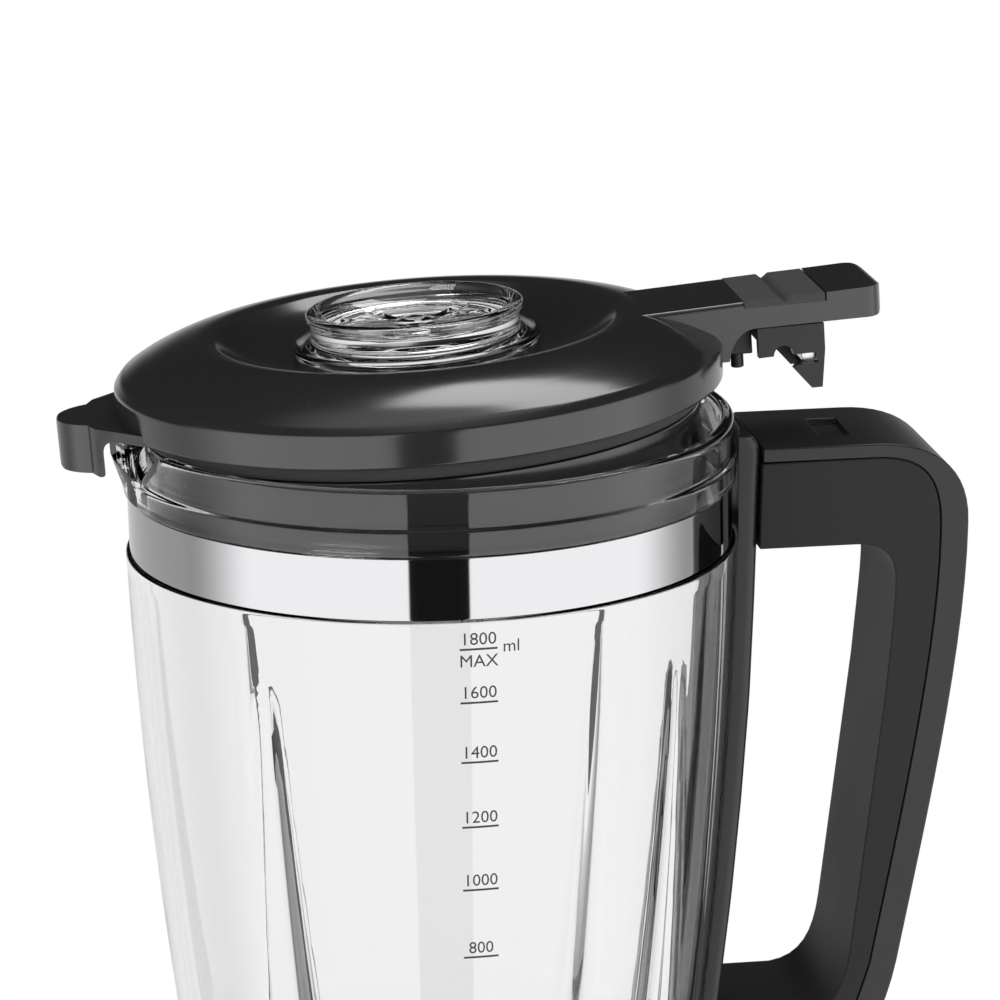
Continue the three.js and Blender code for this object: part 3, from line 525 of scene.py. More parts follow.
def fluteTree():
    # Four flutes press into the jug; each starts with a round tip under the band, then widens and deepens
    # on its way down. The attribute says how much of the depth a point takes.
    tree = bpy.data.node_groups.new("pressFlutes", "GeometryNodeTree")
    tree.interface.new_socket(name="Geometry", in_out="OUTPUT", socket_type="NodeSocketGeometry")
    tree.interface.new_socket(name="Item", in_out="INPUT", socket_type="NodeSocketGeometry")
    for key in flute:
        tree.interface.new_socket(name=key, in_out="INPUT", socket_type="NodeSocketFloat")
    tree.interface.new_socket(name="Material", in_out="INPUT", socket_type="NodeSocketMaterial")
    given, out = node(tree, "NodeGroupInput", -900), node(tree, "NodeGroupOutput", 900)
    split = node(tree, "ShaderNodeSeparateXYZ", -700)
    tree.links.new(node(tree, "GeometryNodeInputPosition", -900, 200).outputs[0], split.inputs[0])
    x, y, z = split.outputs
    angle = mathNode(tree, "ARCTAN2", x, mathNode(tree, "ABSOLUTE", y))
    fromRight = mathNode(tree, "ABSOLUTE", mathNode(tree, "SUBTRACT", angle, given.outputs["Right"]))
    fromLeft = mathNode(tree, "ABSOLUTE", mathNode(tree, "ADD", angle, given.outputs["Left"]))
    radius = mathNode(tree, "SQRT", mathNode(tree, "ADD", mathNode(tree, "MULTIPLY", x, x),
                                             mathNode(tree, "MULTIPLY", y, y)))
    across = mathNode(tree, "MULTIPLY", mathNode(tree, "MINIMUM", fromRight, fromLeft), radius)
    drop = mathNode(tree, "MAXIMUM", mathNode(tree, "SUBTRACT", given.outputs["Top"], z), 0.0)
    half = mathNode(tree, "MULTIPLY_ADD", drop, given.outputs["Widening"], given.outputs["Tip Half Width"])
    share = mathNode(tree, "MINIMUM", mathNode(tree, "DIVIDE", across, half), 1.0)
    crest = mathNode(tree, "MULTIPLY_ADD",
                     mathNode(tree, "COSINE", mathNode(tree, "MULTIPLY", share, math.pi)), 0.5, 0.5)
    span = mathNode(tree, "SUBTRACT", given.outputs["Top"], given.outputs["Low"])
    along = mathNode(tree, "POWER", mathNode(tree, "MINIMUM", mathNode(tree, "DIVIDE", drop, span), 1.1),
                     0.62)
    depth = mathNode(tree, "MULTIPLY", mathNode(tree, "MULTIPLY", crest, along), given.outputs["Depth"])
    taken = node(tree, "GeometryNodeInputNamedAttribute", -300, -400, data_type="FLOAT")
    taken.inputs["Name"].default_value = "taken"
    scale = mathNode(tree, "SUBTRACT", 1.0,
                     mathNode(tree, "DIVIDE", mathNode(tree, "MULTIPLY", depth, taken.outputs[0]),
                              mathNode(tree, "MAXIMUM", radius, 1.0)))
    place = node(tree, "ShaderNodeCombineXYZ", 200)
    tree.links.new(mathNode(tree, "MULTIPLY", x, scale), place.inputs[0])
    tree.links.new(mathNode(tree, "MULTIPLY", y, scale), place.inputs[1])
    tree.links.new(z, place.inputs[2])
    moved = node(tree, "GeometryNodeSetPosition", 400)
    tree.links.new(given.outputs["Item"], moved.inputs["Geometry"])
    tree.links.new(place.outputs[0], moved.inputs["Position"])
    endTree(tree, moved.outputs[0], given.outputs["Material"], out)
    return tree


def jugGlass():
    outer = [(bodyRadius(z), z) for z in [-152 + 2.5 * k for k in range(60)]]
    seat = jug["neckR"] - 1.1
    neck = filleted([(bodyRadius(-3), -3), (bodyRadius(-2) + 0.1, -0.4, 0.6), (seat, -0.06, 0.1),
                     (seat, 14.1, 0.3), (70.9, 14.4, 0.5), (71.0, 19.6, 0.5), (70.2, 20.6, 0.5),
                     (70.5, 27.6, 0.8), (70.0, 28.9, 0.9), (67.4, 28.9, 0.9), (66.9, 27.4, 0.9),
                     (66.9, 8, 4), (68.1, 0, 4), (bodyRadius(-4) - jug["wall"], -4)], steps=5,
                    closed=False)
    inner = [(r - jug["wall"] * (1 + 0.4 * max(0, (-120 - z) / 30)), z) for r, z in outer[::-1][1:-2]]
    foot = filleted([(inner[-1][0], -146), (51, -149.5, 4), (47, -150.5, 1), (46, -152, 1), (46, -154, 1),
                     (48, -155, 1), (56.5, -155, 2), (57.5, -152.6)], closed=False)
    bm = spun(outer + neck[1:] + inner + foot[1:-1], jug["sides"])
    taken = bm.verts.layers.float.new("taken")
    for v in bm.verts:
        radius = math.hypot(v.co.x, v.co.y)
        if radius > 50 and v.co.z < -10:
            v[taken] = 0.4 if radius > bodyRadius(v.co.z) - 1 else min(1.0, (radius - 50) / 5)
    bm = repeated(bm, fluteTree(), clearGlass,
                  **{key: math.radians(value) if key in ("Left", "Right") else value
                     for key, value in flute.items()})
    # The pouring lip: a tongue leaning out of the collar, and a wide channel cut through the rim.
    half = jug["lipHalf"]
    side = filleted([(-66, 15), (-69.6, 15.2, 1), (-71.2, 19, 2), (-73.9, 25.4, 1.2), (-73.3, 27.4, 0.6),
                     (-66, 28)])
    plan = [(-60, -half), (-67.4, -half)] + bezier((-67.4, -half), (-71.4, -13), (-74, -8), (-74, 0), 16)
    plan += bezier((-74, 0), (-74, 8), (-71.4, 13), (-67.4, half), 16) + [(-60, half)]
    tongue = boolean(slab(side, -24, 24), raised(plan, 10, 30), "INTERSECT")
    tongue = boolean(tongue, spun([(0, 0), (jug["innerR"], 0), (jug["innerR"], 40), (0, 40)], 360,
                                  closed=False), "DIFFERENCE")
    bm = boolean(bm, tongue, "UNION")
    low = jug["notchFloor"]
    floor = slab(filleted([(-50, low), (-68.4, low, 3), (-72, 23.4, 3), (-75, 25.6), (-78, 40),
                           (-50, 40)]), -40, 40)
    across = raised([(17, 17), (18.5, 19.6), (31, 29.2), (31, 40), (-31, 40), (-31, 29.2), (-18.5, 19.6),
                     (-17, 17)], -80, -50)
    across.transform(Matrix(((0, 0, 1, 0), (1, 0, 0, 0), (0, 1, 0, 0), (0, 0, 0, 1))))
    bm = boolean(bm, boolean(floor, across, "INTERSECT"), "DIFFERENCE")
    piece = makePiece("jugGlass", bm, jugFrame, clearGlass, "jug", ["jug_glass"], sharp=50)
    softEdges(piece, 0.35, 2, 50)


def steelBand():
    low, high = 0.0, jug["bandTop"]
    profile = filleted([(69.35, low, 0.1), (70.0, low, 0.25), (70.0, high, 0.25), (69.35, high, 0.1)])
    bm = spun(profile, 192)
    makePiece("steelBand", bm, jugFrame, mirrorSteel, "jug", ["steel_band"])


spine = {"half": 18.0, "face": [(74.7, 22.0), (73.9, 0.0), (73.4, -14.5), (72.3, -38.7), (70.4, -63.3),
                                (68.0, -88.2), (65.4, -109.5), (61.6, -141.0)]}


def spineX(z):
    face = spine["face"]
    for (x0, z0), (x1, z1) in zip(face, face[1:]):
        if z >= z1 or (x1, z1) == face[-1]:
            return x1 + (x0 - x1) * (z - z1) / (z0 - z1)


def jugSpine():
    # Built as rows of points that follow the glass on the inside and lie flat on the outside.
    bm = bmesh.new()
    half = spine["half"]
    rows = []
    stations = [-141 + 5.5 * k for k in range(29)] + [18, 21, 22.6, 23.8, 24.6]
    for z in stations:
        envelope = (bodyRadius(z) if z < 0 else 71.1) + 0.35
        outerX = spineX(min(z, 22)) - 0.9 * max(0.0, z - 21.5) ** 1.2 / 1.6
        inside = [(math.sqrt(envelope ** 2 - y * y), y) for y in [half * k / 8 for k in range(-8, 9)]]
        outside = filleted([(inside[-1][0], half), (outerX, half, 2.4), (outerX, -half, 2.4),
                            (inside[0][0], -half)], closed=False)[1:-1]
        rows.append([bm.verts.new((max(x, 1), y, z)) for x, y in inside + outside])
    for low, high in zip(rows, rows[1:]):
        for i in range(len(low)):
            k = (i + 1) % len(low)
            bm.faces.new((low[i], low[k], high[k], high[i]))
    bm.faces.new(rows[0][::-1])
    bm.faces.new(rows[-1])
    piece = makePiece("jugSpine", bm, jugFrame, satinBlack, "jug", ["jug_spine"], sharp=45)
    softEdges(piece, 0.8, 3, 55)


handle = {"half": 18.7, "top": 21.6, "seam": 6.4}


def handleOutside(inset):
    top = handle["top"] - inset * 0.5
    start = (101.0, top)
    points = [start]
    points += bezier(start, (114, top), (123.6 - inset, 16 - inset * 0.6),
                     (123.4 - inset, 2 - inset * 0.3), 14)
    points += bezier(points[-1], (123.2 - inset, -30), (113.5 - inset, -75), (107.6 - inset, -106), 14)
    points += bezier(points[-1], (103 - inset, -128 + inset), (92, -139 + inset), (78, -140 + inset), 14)
    return points


def handleInside():
    points = bezier((84, -119), (92, -118), (95, -112), (96.3, -102), 8)
    points.append((104, -40))
    points += bezier(points[-1], (105.5, -24), (106.3, -18), (106.3, -11), 6)
    points += bezier(points[-1], (106.3, -5), (103, -2.2), (97, -2.2), 8)
    return points


def handlePieces():
    half, top, seam = handle["half"], handle["top"], handle["seam"]
    gap = 0.3
    outside = handleOutside(0)
    seamLine = handleOutside(seam)
    shell = [(spineX(top) + gap, top)] + outside + [(spineX(-138) + gap, -140),
                                                    (spineX(-134) + gap, -140 + seam)]
    shell += seamLine[::-1] + [(spineX(top) + gap, top - seam * 0.5)]
    outerTest = {(round(x, 3), round(z, 3)) for x, z in outside + [shell[0]]}
    bm = slab(shell, -half, half, [(lambda x, z: (round(x, 3), round(z, 3)) in outerTest, 3.4)])
    # A shallow pocket in the top lets the latch's end in.
    bm = boolean(bm, block(90.5, 97.5, -8.2, 8.2, top - 1.5, top + 3), "DIFFERENCE")
    piece = makePiece("handleShell", bm, jugFrame, satinBlack, "jug", ["handle_shell"],
                      sharp=40)
    softEdges(piece, 0.35, 2, 60)
    inset = seam + gap
    inside = handleInside()
    grip = [(spineX(16) + gap, top - inset * 0.5 - 0.2)] + handleOutside(inset)
    grip += [(spineX(-131) + gap, -140 + inset), (spineX(-119) + gap, -119),
             (84, -119)] + inside + [(spineX(-2.2) + gap, -2.2)]
    innerTest = {(round(x, 3), round(z, 3)) for x, z in inside + [(84, -119), grip[-1],
                                                                  (spineX(-119) + gap, -119)]}
    bm = slab(grip, -half, half, [(lambda x, z: (round(x, 3), round(z, 3)) in innerTest, 7.5)])
    piece = makePiece("handleGrip", bm, jugFrame, gripBlack, "jug", ["handle_grip"], sharp=40)
    softEdges(piece, 0.35, 2, 60)


lid = {"armHalf": 14.2, "sides": 224}


def lidShell():
    top = filleted([(25.8, 39.6, 0.6), (31, 39.6, 3), (37, 40.4, 4), (42, 42.3, 3), (44.6, 43.9, 0.4),
                    (46.2, 44.9, 0.5), (49.8, 45.3, 3), (57, 44.0, 5), (64, 41.2, 4), (68.4, 38.6, 0.7),
                    (70.0, 36.6, 0.6), (69.7, 29.3, 0.5), (67.4, 29.3, 0.4), (67.4, 34.6, 2), (64, 38, 3),
                    (56, 41, 4), (49, 42.5, 3), (43, 39.6, 3), (36, 37.2, 3), (28.2, 36.8, 1),
                    (28.2, 20.6, 0.6), (25.8, 20.6, 0.6)], steps=6)
    bm = spun(top, lid["sides"])
    makePiece("lidShell", bm, lidFrame, glossBlack, "lid", ["lid_shell"], sharp=30)


def lidTab():
    # A plate that narrows to a round nose and turns down over the pouring lip.
    nose = [(-72.4 - 11.3 * math.cos(a), 11.3 * math.sin(a)) for a in
            [math.radians(127 - 254 * k / 30) for k in range(31)] if abs(math.degrees(a)) <= 74]
    flank = [(-62.0, 29.0), (-70.5, 19.6), (-75.2, 14.6)]
    outline = flank + nose + [(x, -y) for x, y in flank[::-1]]
    side = filleted([(-62, 31.2), (-83.7, 31.3, 0.9), (-83.6, 20.1, 1.2), (-73.7, 20.1, 1.2),
                     (-73.7, 28.8, 3.2), (-62, 28.8)], steps=6)
    bm = boolean(slab(side, -30, 30), raised(outline, 10, 40), "INTERSECT")
    piece = makePiece("lidTab", bm, lidFrame, glossBlack, "lid", sharp=40)
    softEdges(piece, 0.5, 3, 50)


def boolean(first, second, operation):
    holders = []
    for name, bm in (("first", first), ("second", second)):
        bmesh.ops.recalc_face_normals(bm, faces=bm.faces)
        mesh = bpy.data.meshes.new(name)
        bm.to_mesh(mesh)
        bm.free()
        holder = bpy.data.objects.new(name, mesh)
        bpy.context.scene.collection.objects.link(holder)
        holders.append(holder)
    modifier = holders[0].modifiers.new("cut", "BOOLEAN")
    modifier.operation = operation
    modifier.solver = "EXACT"
    modifier.object = holders[1]
    graph = bpy.context.evaluated_depsgraph_get()
    result = bpy.data.meshes.new_from_object(holders[0].evaluated_get(graph))
    for holder in holders:
        bpy.data.objects.remove(holder)
    bm = bmesh.new()
    bm.from_mesh(result)
    bpy.data.meshes.remove(result)
    return bm


def lidPlug():
    profile = filleted([(59.6, 0, 0.3), (63.8, 0, 0.4), (64.3, 0.8, 0.3), (64.3, 24.8, 0.3), (62.4, 24.8),
                        (62.4, 28.6), (65.0, 28.9, 0.3), (66.6, 30), (66.6, 33), (60.5, 33), (59.6, 30)])
    makePiece("lidPlug", spun(profile, 200), lidFrame, glossBlack, "lid", ["lid_plug"])
    seal = filleted([(62.7, 25.2), (64.7, 25.2, 0.5), (64.9, 26.7, 1), (64.7, 28.2, 0.5), (62.7, 28.3)])
    makePiece("lidSeal", spun(seal, 200), lidFrame, darkRubber, "lid", ["lid_seal"])


def lidArm():
    half = lid["armHalf"]
    side = [(50.0, 40.0), (50.0, 44.9), (73.9, 45.7), (73.9, 44.3), (93.2, 44.3), (93.2, 46.3), (104.8, 46.7)]
    side += bezier(side[-1], (106.6, 46.6), (107.4, 45.6), (107.3, 43.8), 8)
    side += [(107.0, 41.0), (105.8, 39.6), (76, 39.4)]
    side += bezier((76, 39.4), (73.6, 39.2), (71.6, 37.4), (70.4, 34.2), 8)
    side += [(70, 32.2), (66.0, 32.2)]
    bm = slab(side, -half, half, [
        (lambda x, z: z > 45.6 and x > 93.0, 1.1),
        (lambda x, z: z > 44.8 and x < 74.0, 1.1)])
    plan = [(40, -half), (102.6, -half)] + bezier((102.6, -half), (105.2, -half), (107, -10), (107.3, -4), 10)
    plan += bezier((107.3, 4), (107, 10), (105.2, half), (102.6, half), 10) + [(40, half)]
    bm = boolean(bm, raised(plan, 20, 60), "INTERSECT")
    piece = makePiece("lidArm", bm, lidFrame, glossBlack, "lid", ["lid_arm"], sharp=40)
    softEdges(piece, 0.4, 2, 50)
    rib = slab(filleted([(68.5, 36), (70.4, 32.4, 0.4), (76.5, 32.2, 0.4), (76.5, 41), (68.5, 41)]), -8, 8)
    piece = makePiece("armRib", rib, lidFrame, satinBlack, "lid", ["latch_pin"])
    softEdges(piece, 0.3)
    pad = slab([(74.0, 44.1), (92.9, 44.1), (92.9, 46.3), (84.9, 46.1), (83.4, 44.9), (82.1, 46.0),
                (74.0, 45.72)], -half, half, [(lambda x, z: z > 44.9, 0.7)])
    piece = makePiece("armPad", pad, lidFrame, matteBlack, "lid", ["arm_pad"])
    softEdges(piece, 0.25)
    peg = filleted([(0, 28.6), (1.5, 28.6, 0.4), (1.5, 33), (0, 33)], closed=False)
    bm = spun(peg, 24, closed=False)
    bm.transform(Matrix.Translation((73.4, -4.5, 0)))
    makePiece("lidPeg", bm, lidFrame, satinBlack, "lid", ["lid_peg"])


hook = {"half": 13.6, "wall": 2.4, "stem": 8.0}


def latchHook():
    # Two side plates and an outer wall hang below the arm; a stem rises into it.
    half, inner = hook["half"], hook["half"] - hook["wall"]
    arch = [(82.7 - 2.3 * math.cos(a), 32.3 + 2.3 * math.sin(a))
            for a in [math.pi * k / 12 for k in range(13)]]
    side = [(76.9, 39.1), (76.9, 32.2)] + arch
    side += [(90.7, 32.4), (90.7, 30), (85.6, 29.8), (84.9, 29), (88.9, 24.1), (91.4, 24.1), (92.4, 33),
             (92.4, 39.1)]
    plates = boolean(slab(side, -half, half), block(70, 90.9, -inner, inner, 20, 36), "DIFFERENCE")
    bm = boolean(plates, block(88.2, 92.5, -hook["stem"], hook["stem"], 38, 42.8), "UNION")
    piece = makePiece("latchHook", bm, lidFrame, satinBlack, "latch", ["latch_hook"])
    softEdges(piece, 0.3)
    strip = block(87.4, 90.6, 0.4 - inner, inner - 0.4, 30.1, 33.1)
    piece = makePiece("hookStrip", strip, lidFrame, satinSteel, "latch", ["hook_strip"])
    softEdges(piece, 0.15)


def fillerCap():
    profile = filleted([(0, 46.4), (2.4, 46.7, 0.6), (4.0, 46.0, 0.8), (18.6, 46.0, 1.2),
                        (20.8, 47.6, 1.2), (22.2, 49.5, 0.8), (23.6, 49.9, 0.8), (25.0, 49.4, 0.6),
                        (25.1, 48.0, 0.4), (24.2, 46.8, 0.6), (24.0, 42.9, 0.8), (28.0, 42.5, 0.6),
                        (28.4, 41.4, 0.5), (28.2, 40.1, 0.4), (25.0, 40.1, 0.4), (24.6, 38.4, 0.6),
                        (23.6, 24.4, 0.6), (21.4, 24.4, 0.6), (22.4, 38, 1.5), (22.4, 43.6, 1.2),
                        (0, 43.6)], steps=6, closed=False)

    def petals(r, angle, z):
        if 5 < r < 18 and 45.5 < z < 46.6:
            lobe = abs(math.sin(1.5 * (angle - 0.4)))
            z -= 0.5 * max(0.0, 1 - abs(lobe - 0.55 * (r - 4) / 14) / 0.16)
        return r, z
    dense = []
    for (r0, z0), (r1, z1) in zip(profile, profile[1:]):
        pieces = max(1, int(math.hypot(r1 - r0, z1 - z0) / 1.2))
        dense += [(r0 + (r1 - r0) * k / pieces, z0 + (z1 - z0) * k / pieces) for k in range(pieces)]
    dense.append(profile[-1])
    bm = spun(dense, 144, petals, closed=False)
    makePiece("fillerCap", bm, lidFrame, clearPlastic, "cap", ["filler_cap"], sharp=50)


# Geometry Nodes trees for what repeats: the object's own mesh is the item, the tree sets it out.
def socketId(tree, name):
    return next(i.identifier for i in tree.interface.items_tree
                if getattr(i, "in_out", "") == "INPUT" and i.name == name)


def nodeTree(name, inputs):
    tree = bpy.data.node_groups.new(name, "GeometryNodeTree")
    tree.interface.new_socket(name="Geometry", in_out="OUTPUT", socket_type="NodeSocketGeometry")
    tree.interface.new_socket(name="Item", in_out="INPUT", socket_type="NodeSocketGeometry")
    for key, kind in inputs:
        tree.interface.new_socket(name=key, in_out="INPUT", socket_type=kind)
    return tree, node(tree, "NodeGroupInput", -900), node(tree, "NodeGroupOutput", 900)


def endTree(tree, geometry, material, out):
    realized = node(tree, "GeometryNodeRealizeInstances", 500)
    tree.links.new(geometry, realized.inputs[0])
    painted = node(tree, "GeometryNodeSetMaterial", 700)
    tree.links.new(realized.outputs[0], painted.inputs["Geometry"])
    tree.links.new(material, painted.inputs["Material"])
    tree.links.new(painted.outputs[0], out.inputs[0])


def aroundTree():
    # Items stand on a circle round the Z axis, each turned to face outwards.
    tree, given, out = nodeTree("setAround", [
        ("Count", "NodeSocketInt"), ("Radius", "NodeSocketFloat"), ("Start", "NodeSocketFloat"),
        ("Sweep", "NodeSocketFloat"), ("Material", "NodeSocketMaterial")])
    line = node(tree, "GeometryNodeMeshLine", -600)
    tree.links.new(given.outputs["Count"], line.inputs["Count"])
    index = node(tree, "GeometryNodeInputIndex", -800, -300).outputs[0]
    share = mathNode(tree, "DIVIDE", index, mathNode(tree, "SUBTRACT", given.outputs["Count"], 1))
    angle = mathNode(tree, "ADD", mathNode(tree, "MULTIPLY", share, given.outputs["Sweep"]),
                     given.outputs["Start"])
    place = node(tree, "ShaderNodeCombineXYZ", -300, -300)
    radius = given.outputs["Radius"]
    tree.links.new(mathNode(tree, "MULTIPLY", mathNode(tree, "COSINE", angle), radius), place.inputs[0])
    tree.links.new(mathNode(tree, "MULTIPLY", mathNode(tree, "SINE", angle), radius), place.inputs[1])
    moved = node(tree, "GeometryNodeSetPosition", -100)
    tree.links.new(line.outputs[0], moved.inputs["Geometry"])
    tree.links.new(place.outputs[0], moved.inputs["Position"])
    turn = node(tree, "ShaderNodeCombineXYZ", -100, -300)
    tree.links.new(angle, turn.inputs[2])
    spread = node(tree, "GeometryNodeInstanceOnPoints", 200)
    tree.links.new(moved.outputs[0], spread.inputs["Points"])
    tree.links.new(given.outputs["Item"], spread.inputs["Instance"])
    tree.links.new(turn.outputs[0], spread.inputs["Rotation"])
    endTree(tree, spread.outputs[0], given.outputs["Material"], out)
    return tree


setAround = aroundTree()


def repeated(bm, tree, material, **values):
    # Runs a tree on one item and gives back the mesh of all of them.
    bmesh.ops.recalc_face_normals(bm, faces=bm.faces)
    mesh = bpy.data.meshes.new("item")
    bm.to_mesh(mesh)
    bm.free()
    holder = bpy.data.objects.new("item", mesh)
    bpy.context.scene.collection.objects.link(holder)
    modifier = holder.modifiers.new("repeat", "NODES")
    modifier.node_group = tree
    for key, value in values.items():
        modifier[socketId(tree, key)] = value
    modifier[socketId(tree, "Material")] = material
    graph = bpy.context.evaluated_depsgraph_get()
    result = bpy.data.meshes.new_from_object(holder.evaluated_get(graph))
    bpy.data.objects.remove(holder)
    made = bmesh.new()
    made.from_mesh(result)
    bpy.data.meshes.remove(result)
    return made


def merged(*parts):
    whole = bmesh.new()
    for part in parts:
        mesh = bpy.data.meshes.new("part")
        part.to_mesh(mesh)
        part.free()
        whole.from_mesh(mesh)
        bpy.data.meshes.remove(mesh)
    return whole


def block(x0, x1, y0, y1, z0, z1, round=0.0, segments=2):
    bm = bmesh.new()
    bmesh.ops.create_cube(bm, size=1)
    for v in bm.verts:
        v.co = ((x0 + x1) / 2 + v.co.x * (x1 - x0), (y0 + y1) / 2 + v.co.y * (y1 - y0),
                (z0 + z1) / 2 + v.co.z * (z1 - z0))
    if round:
        bmesh.ops.bevel(bm, geom=list(bm.edges), offset=round, segments=segments, profile=0.5, affect="EDGES")
    return bm


def letters(text, size, align="CENTER"):
    curve = bpy.data.curves.new("letters", "FONT")
    curve.body = text
    curve.size = size
    curve.align_x = align
    curve.extrude = 0.03
    curve.resolution_u = 3
    holder = bpy.data.objects.new("letters", curve)
    bpy.context.scene.collection.objects.link(holder)
    graph = bpy.context.evaluated_depsgraph_get()
    mesh = bpy.data.meshes.new_from_object(holder.evaluated_get(graph))
    bpy.data.objects.remove(holder)
    bm = bmesh.new()
    bm.from_mesh(mesh)
    bpy.data.meshes.remove(mesh)
    bmesh.ops.remove_doubles(bm, verts=bm.verts, dist=1e-4)
    return bm


# Marks are drawn flat (x across, y up) and then wrapped round the front of the glass.
marks = {"angle": 2.0, "lineHalf": 4.1, "lineThick": 0.45, "digit": 3.95, "lift": 0.02,
         "lines": {1800: -6.4, 1600: -18.6, 1400: -32.4, 1200: -47.6, 1000: -62.6, 800: -78.9, 600: -96.2,
                   400: -114.6, 200: -133.5}}


def scaleMarks():
    parts = []
    for amount, height in marks["lines"].items():
        digits = letters(str(amount), marks["digit"])
        digits.transform(Matrix.Translation((0, height + 1.0, 0)))
        line = bmesh.new()
        bmesh.ops.create_grid(line, x_segments=10, y_segments=1, size=1)
        for v in line.verts:
            v.co = (v.co.x * marks["lineHalf"], height + v.co.y * marks["lineThick"] / 2, -0.03)
        up = bmesh.ops.extrude_face_region(line, geom=list(line.faces))
        for v in up["geom"]:
            if isinstance(v, bmesh.types.BMVert):
                v.co.z = 0.03
        parts += [digits, line]
    below = letters("MAX", marks["digit"])
    below.transform(Matrix.Translation((0, marks["lines"][1800] - 4.0, 0)))
    beside = letters("ml", marks["digit"], "LEFT")
    beside.transform(Matrix.Translation((marks["lineHalf"] + 1.1, marks["lines"][1800] - 1.0, 0)))
    whole = merged(*parts, below, beside)
    for v in whole.verts:
        radius = bodyRadius(v.co.y) + marks["lift"] + 0.03 + v.co.z
        angle = math.radians(-90 + marks["angle"]) + v.co.x / 70
        v.co = (radius * math.cos(angle), radius * math.sin(angle), v.co.y)
    makePiece("scaleMarks", whole, jugFrame, printInk, "jug")


base = {"half": 88.0, "topHalf": 76.0, "top": 150.0, "bottom": 4.0, "power": 4.0, "sides": 200,
        "panelZ": 72.0, "panelHalfW": 52.0, "panelHalfH": 34.0, "corner": 9.0}
panelTilt = math.atan((base["half"] - base["topHalf"]) / (base["top"] - base["bottom"]))


def housingHalf(z):
    return (base["half"] + (base["topHalf"] - base["half"]) * (z - base["bottom"])
            / (base["top"] - base["bottom"]))


def squareWarp(start, end):
    def warp(r, angle, z):
        share = min(1.0, max(0.0, (r - start) / (end - start)))
        share = share * share * (3 - 2 * share)
        power = base["power"]
        factor = (abs(math.cos(angle)) ** power + abs(math.sin(angle)) ** power) ** (-1 / power)
        return r * (1 + (factor - 1) * share), z
    return warp


panelPlace = (tableFrame @ Matrix.Translation((0, -housingHalf(base["panelZ"]), base["panelZ"]))
              @ Matrix.Rotation(-panelTilt, 4, "X"))


def roundedRect(halfW, halfH, corner, steps=8):
    points = []
    for cx, cz, start in ((halfW - corner, -halfH + corner, -90), (halfW - corner, halfH - corner, 0),
                          (-halfW + corner, halfH - corner, 90), (-halfW + corner, -halfH + corner, 180)):
        for k in range(steps + 1):
            angle = math.radians(start + 90 * k / steps)
            points.append((cx + corner * math.cos(angle), cz + corner * math.sin(angle)))
    return points


def baseHousing():
    low, top, mid = base["bottom"], base["top"], 77.0
    wall = 2.5
    profile = filleted([(base["half"] - wall, low, 0.4), (base["half"], low, 1.2),
                        (housingHalf(mid), mid), (base["topHalf"], top, 1.4), (base["topHalf"] - 4, top,
                                                                               0.4),
                        (base["topHalf"] - 4, top - 2.5, 0.3), (base["topHalf"] - wall, top - 3),
                        (housingHalf(mid) - wall, mid)])
    bm = spun(profile, base["sides"], squareWarp(0, 1))
    window = slab(roundedRect(base["panelHalfW"] + 0.3, base["panelHalfH"] + 0.3, base["corner"]), -12, 14)
    window.transform(tableFrame.inverted() @ panelPlace)
    bm = boolean(bm, window, "DIFFERENCE")
    hole = spun([(0, -20), (8.3, -20), (8.3, 20), (0, 20)], 48, closed=False)
    hole.transform(Matrix.Translation((0, housingHalf(24), 24)) @ Matrix.Rotation(math.pi / 2, 4, "X"))
    bm = boolean(bm, hole, "DIFFERENCE")
    piece = makePiece("baseHousing", bm, tableFrame, brushedSteel, "base",
                      ["base_housing"])
    softEdges(piece, 0.3)


def baseDeck():
    profile = filleted([(26, 151), (26, 153.4, 0.6), (28, 153.4, 0.6), (29, 151, 0.4), (62.2, 151, 0.8),
                        (62.2, 158.2, 1.2), (63.6, 159.9, 1.2), (68, 159.5, 3), (73.4, 156.4, 3),
                        (75.8, 153.4, 1.5), (76.0, 150.3, 0.5), (71.6, 150.3), (71.6, 147), (26, 147)])
    bm = spun(profile, base["sides"], squareWarp(66, 71.6))
    makePiece("baseDeck", bm, tableFrame, satinBlack, "base", ["base_deck"])


def baseFeet():
    profile = filleted([(0, 0.5), (3, 0.5), (3, 0, 0.1), (4.6, 0, 0.1), (4.6, 0.5), (6.2, 0.5),
                        (6.2, 0, 0.1), (9.2, 0, 0.8), (11, 1.4, 1), (10.4, 5.9, 0.3), (0, 5.9)],
                       closed=False)
    item = spun(profile, 40, closed=False)
    bm = repeated(item, setAround, darkRubber, Count=4, Radius=58 * math.sqrt(2), Start=math.pi / 4,
                  Sweep=math.pi * 1.5)
    makePiece("baseFeet", bm, tableFrame, darkRubber, "base", ["foot_1", "foot_2", "foot_3",
                                                                         "foot_4"])


screw = {"head": 3.2, "height": 1.5, "slotWide": 0.8, "slotDeep": 0.7}


def screwItem():
    head = spun(filleted([(0, 0), (screw["head"], 0, 0.2), (screw["head"], -screw["height"], 0.6),
                          (0, -screw["height"])], closed=False), 24, closed=False)
    deep = -screw["height"] + screw["slotDeep"]
    for turn in (0, math.pi / 2):
        slot = block(-2.1, 2.1, -screw["slotWide"] / 2, screw["slotWide"] / 2, -screw["height"] - 1, deep)
        slot.transform(Matrix.Rotation(turn, 4, "Z"))
        head = boolean(head, slot, "DIFFERENCE")
    return head


def coverScrews():
    bm = repeated(screwItem(), setAround, satinSteel, Count=4, Radius=44 * math.sqrt(2), Start=math.pi / 4,
                  Sweep=math.pi * 1.5)
    bm.transform(Matrix.Translation((0, 0, 6.2)))
    makePiece("coverScrews", bm, tableFrame, satinSteel, "base")


panel = {"knobZ": 4.0, "buttonZ": -26.4, "buttonXs": (-28, 0, 28), "front": -3.2, "ticks": 11}


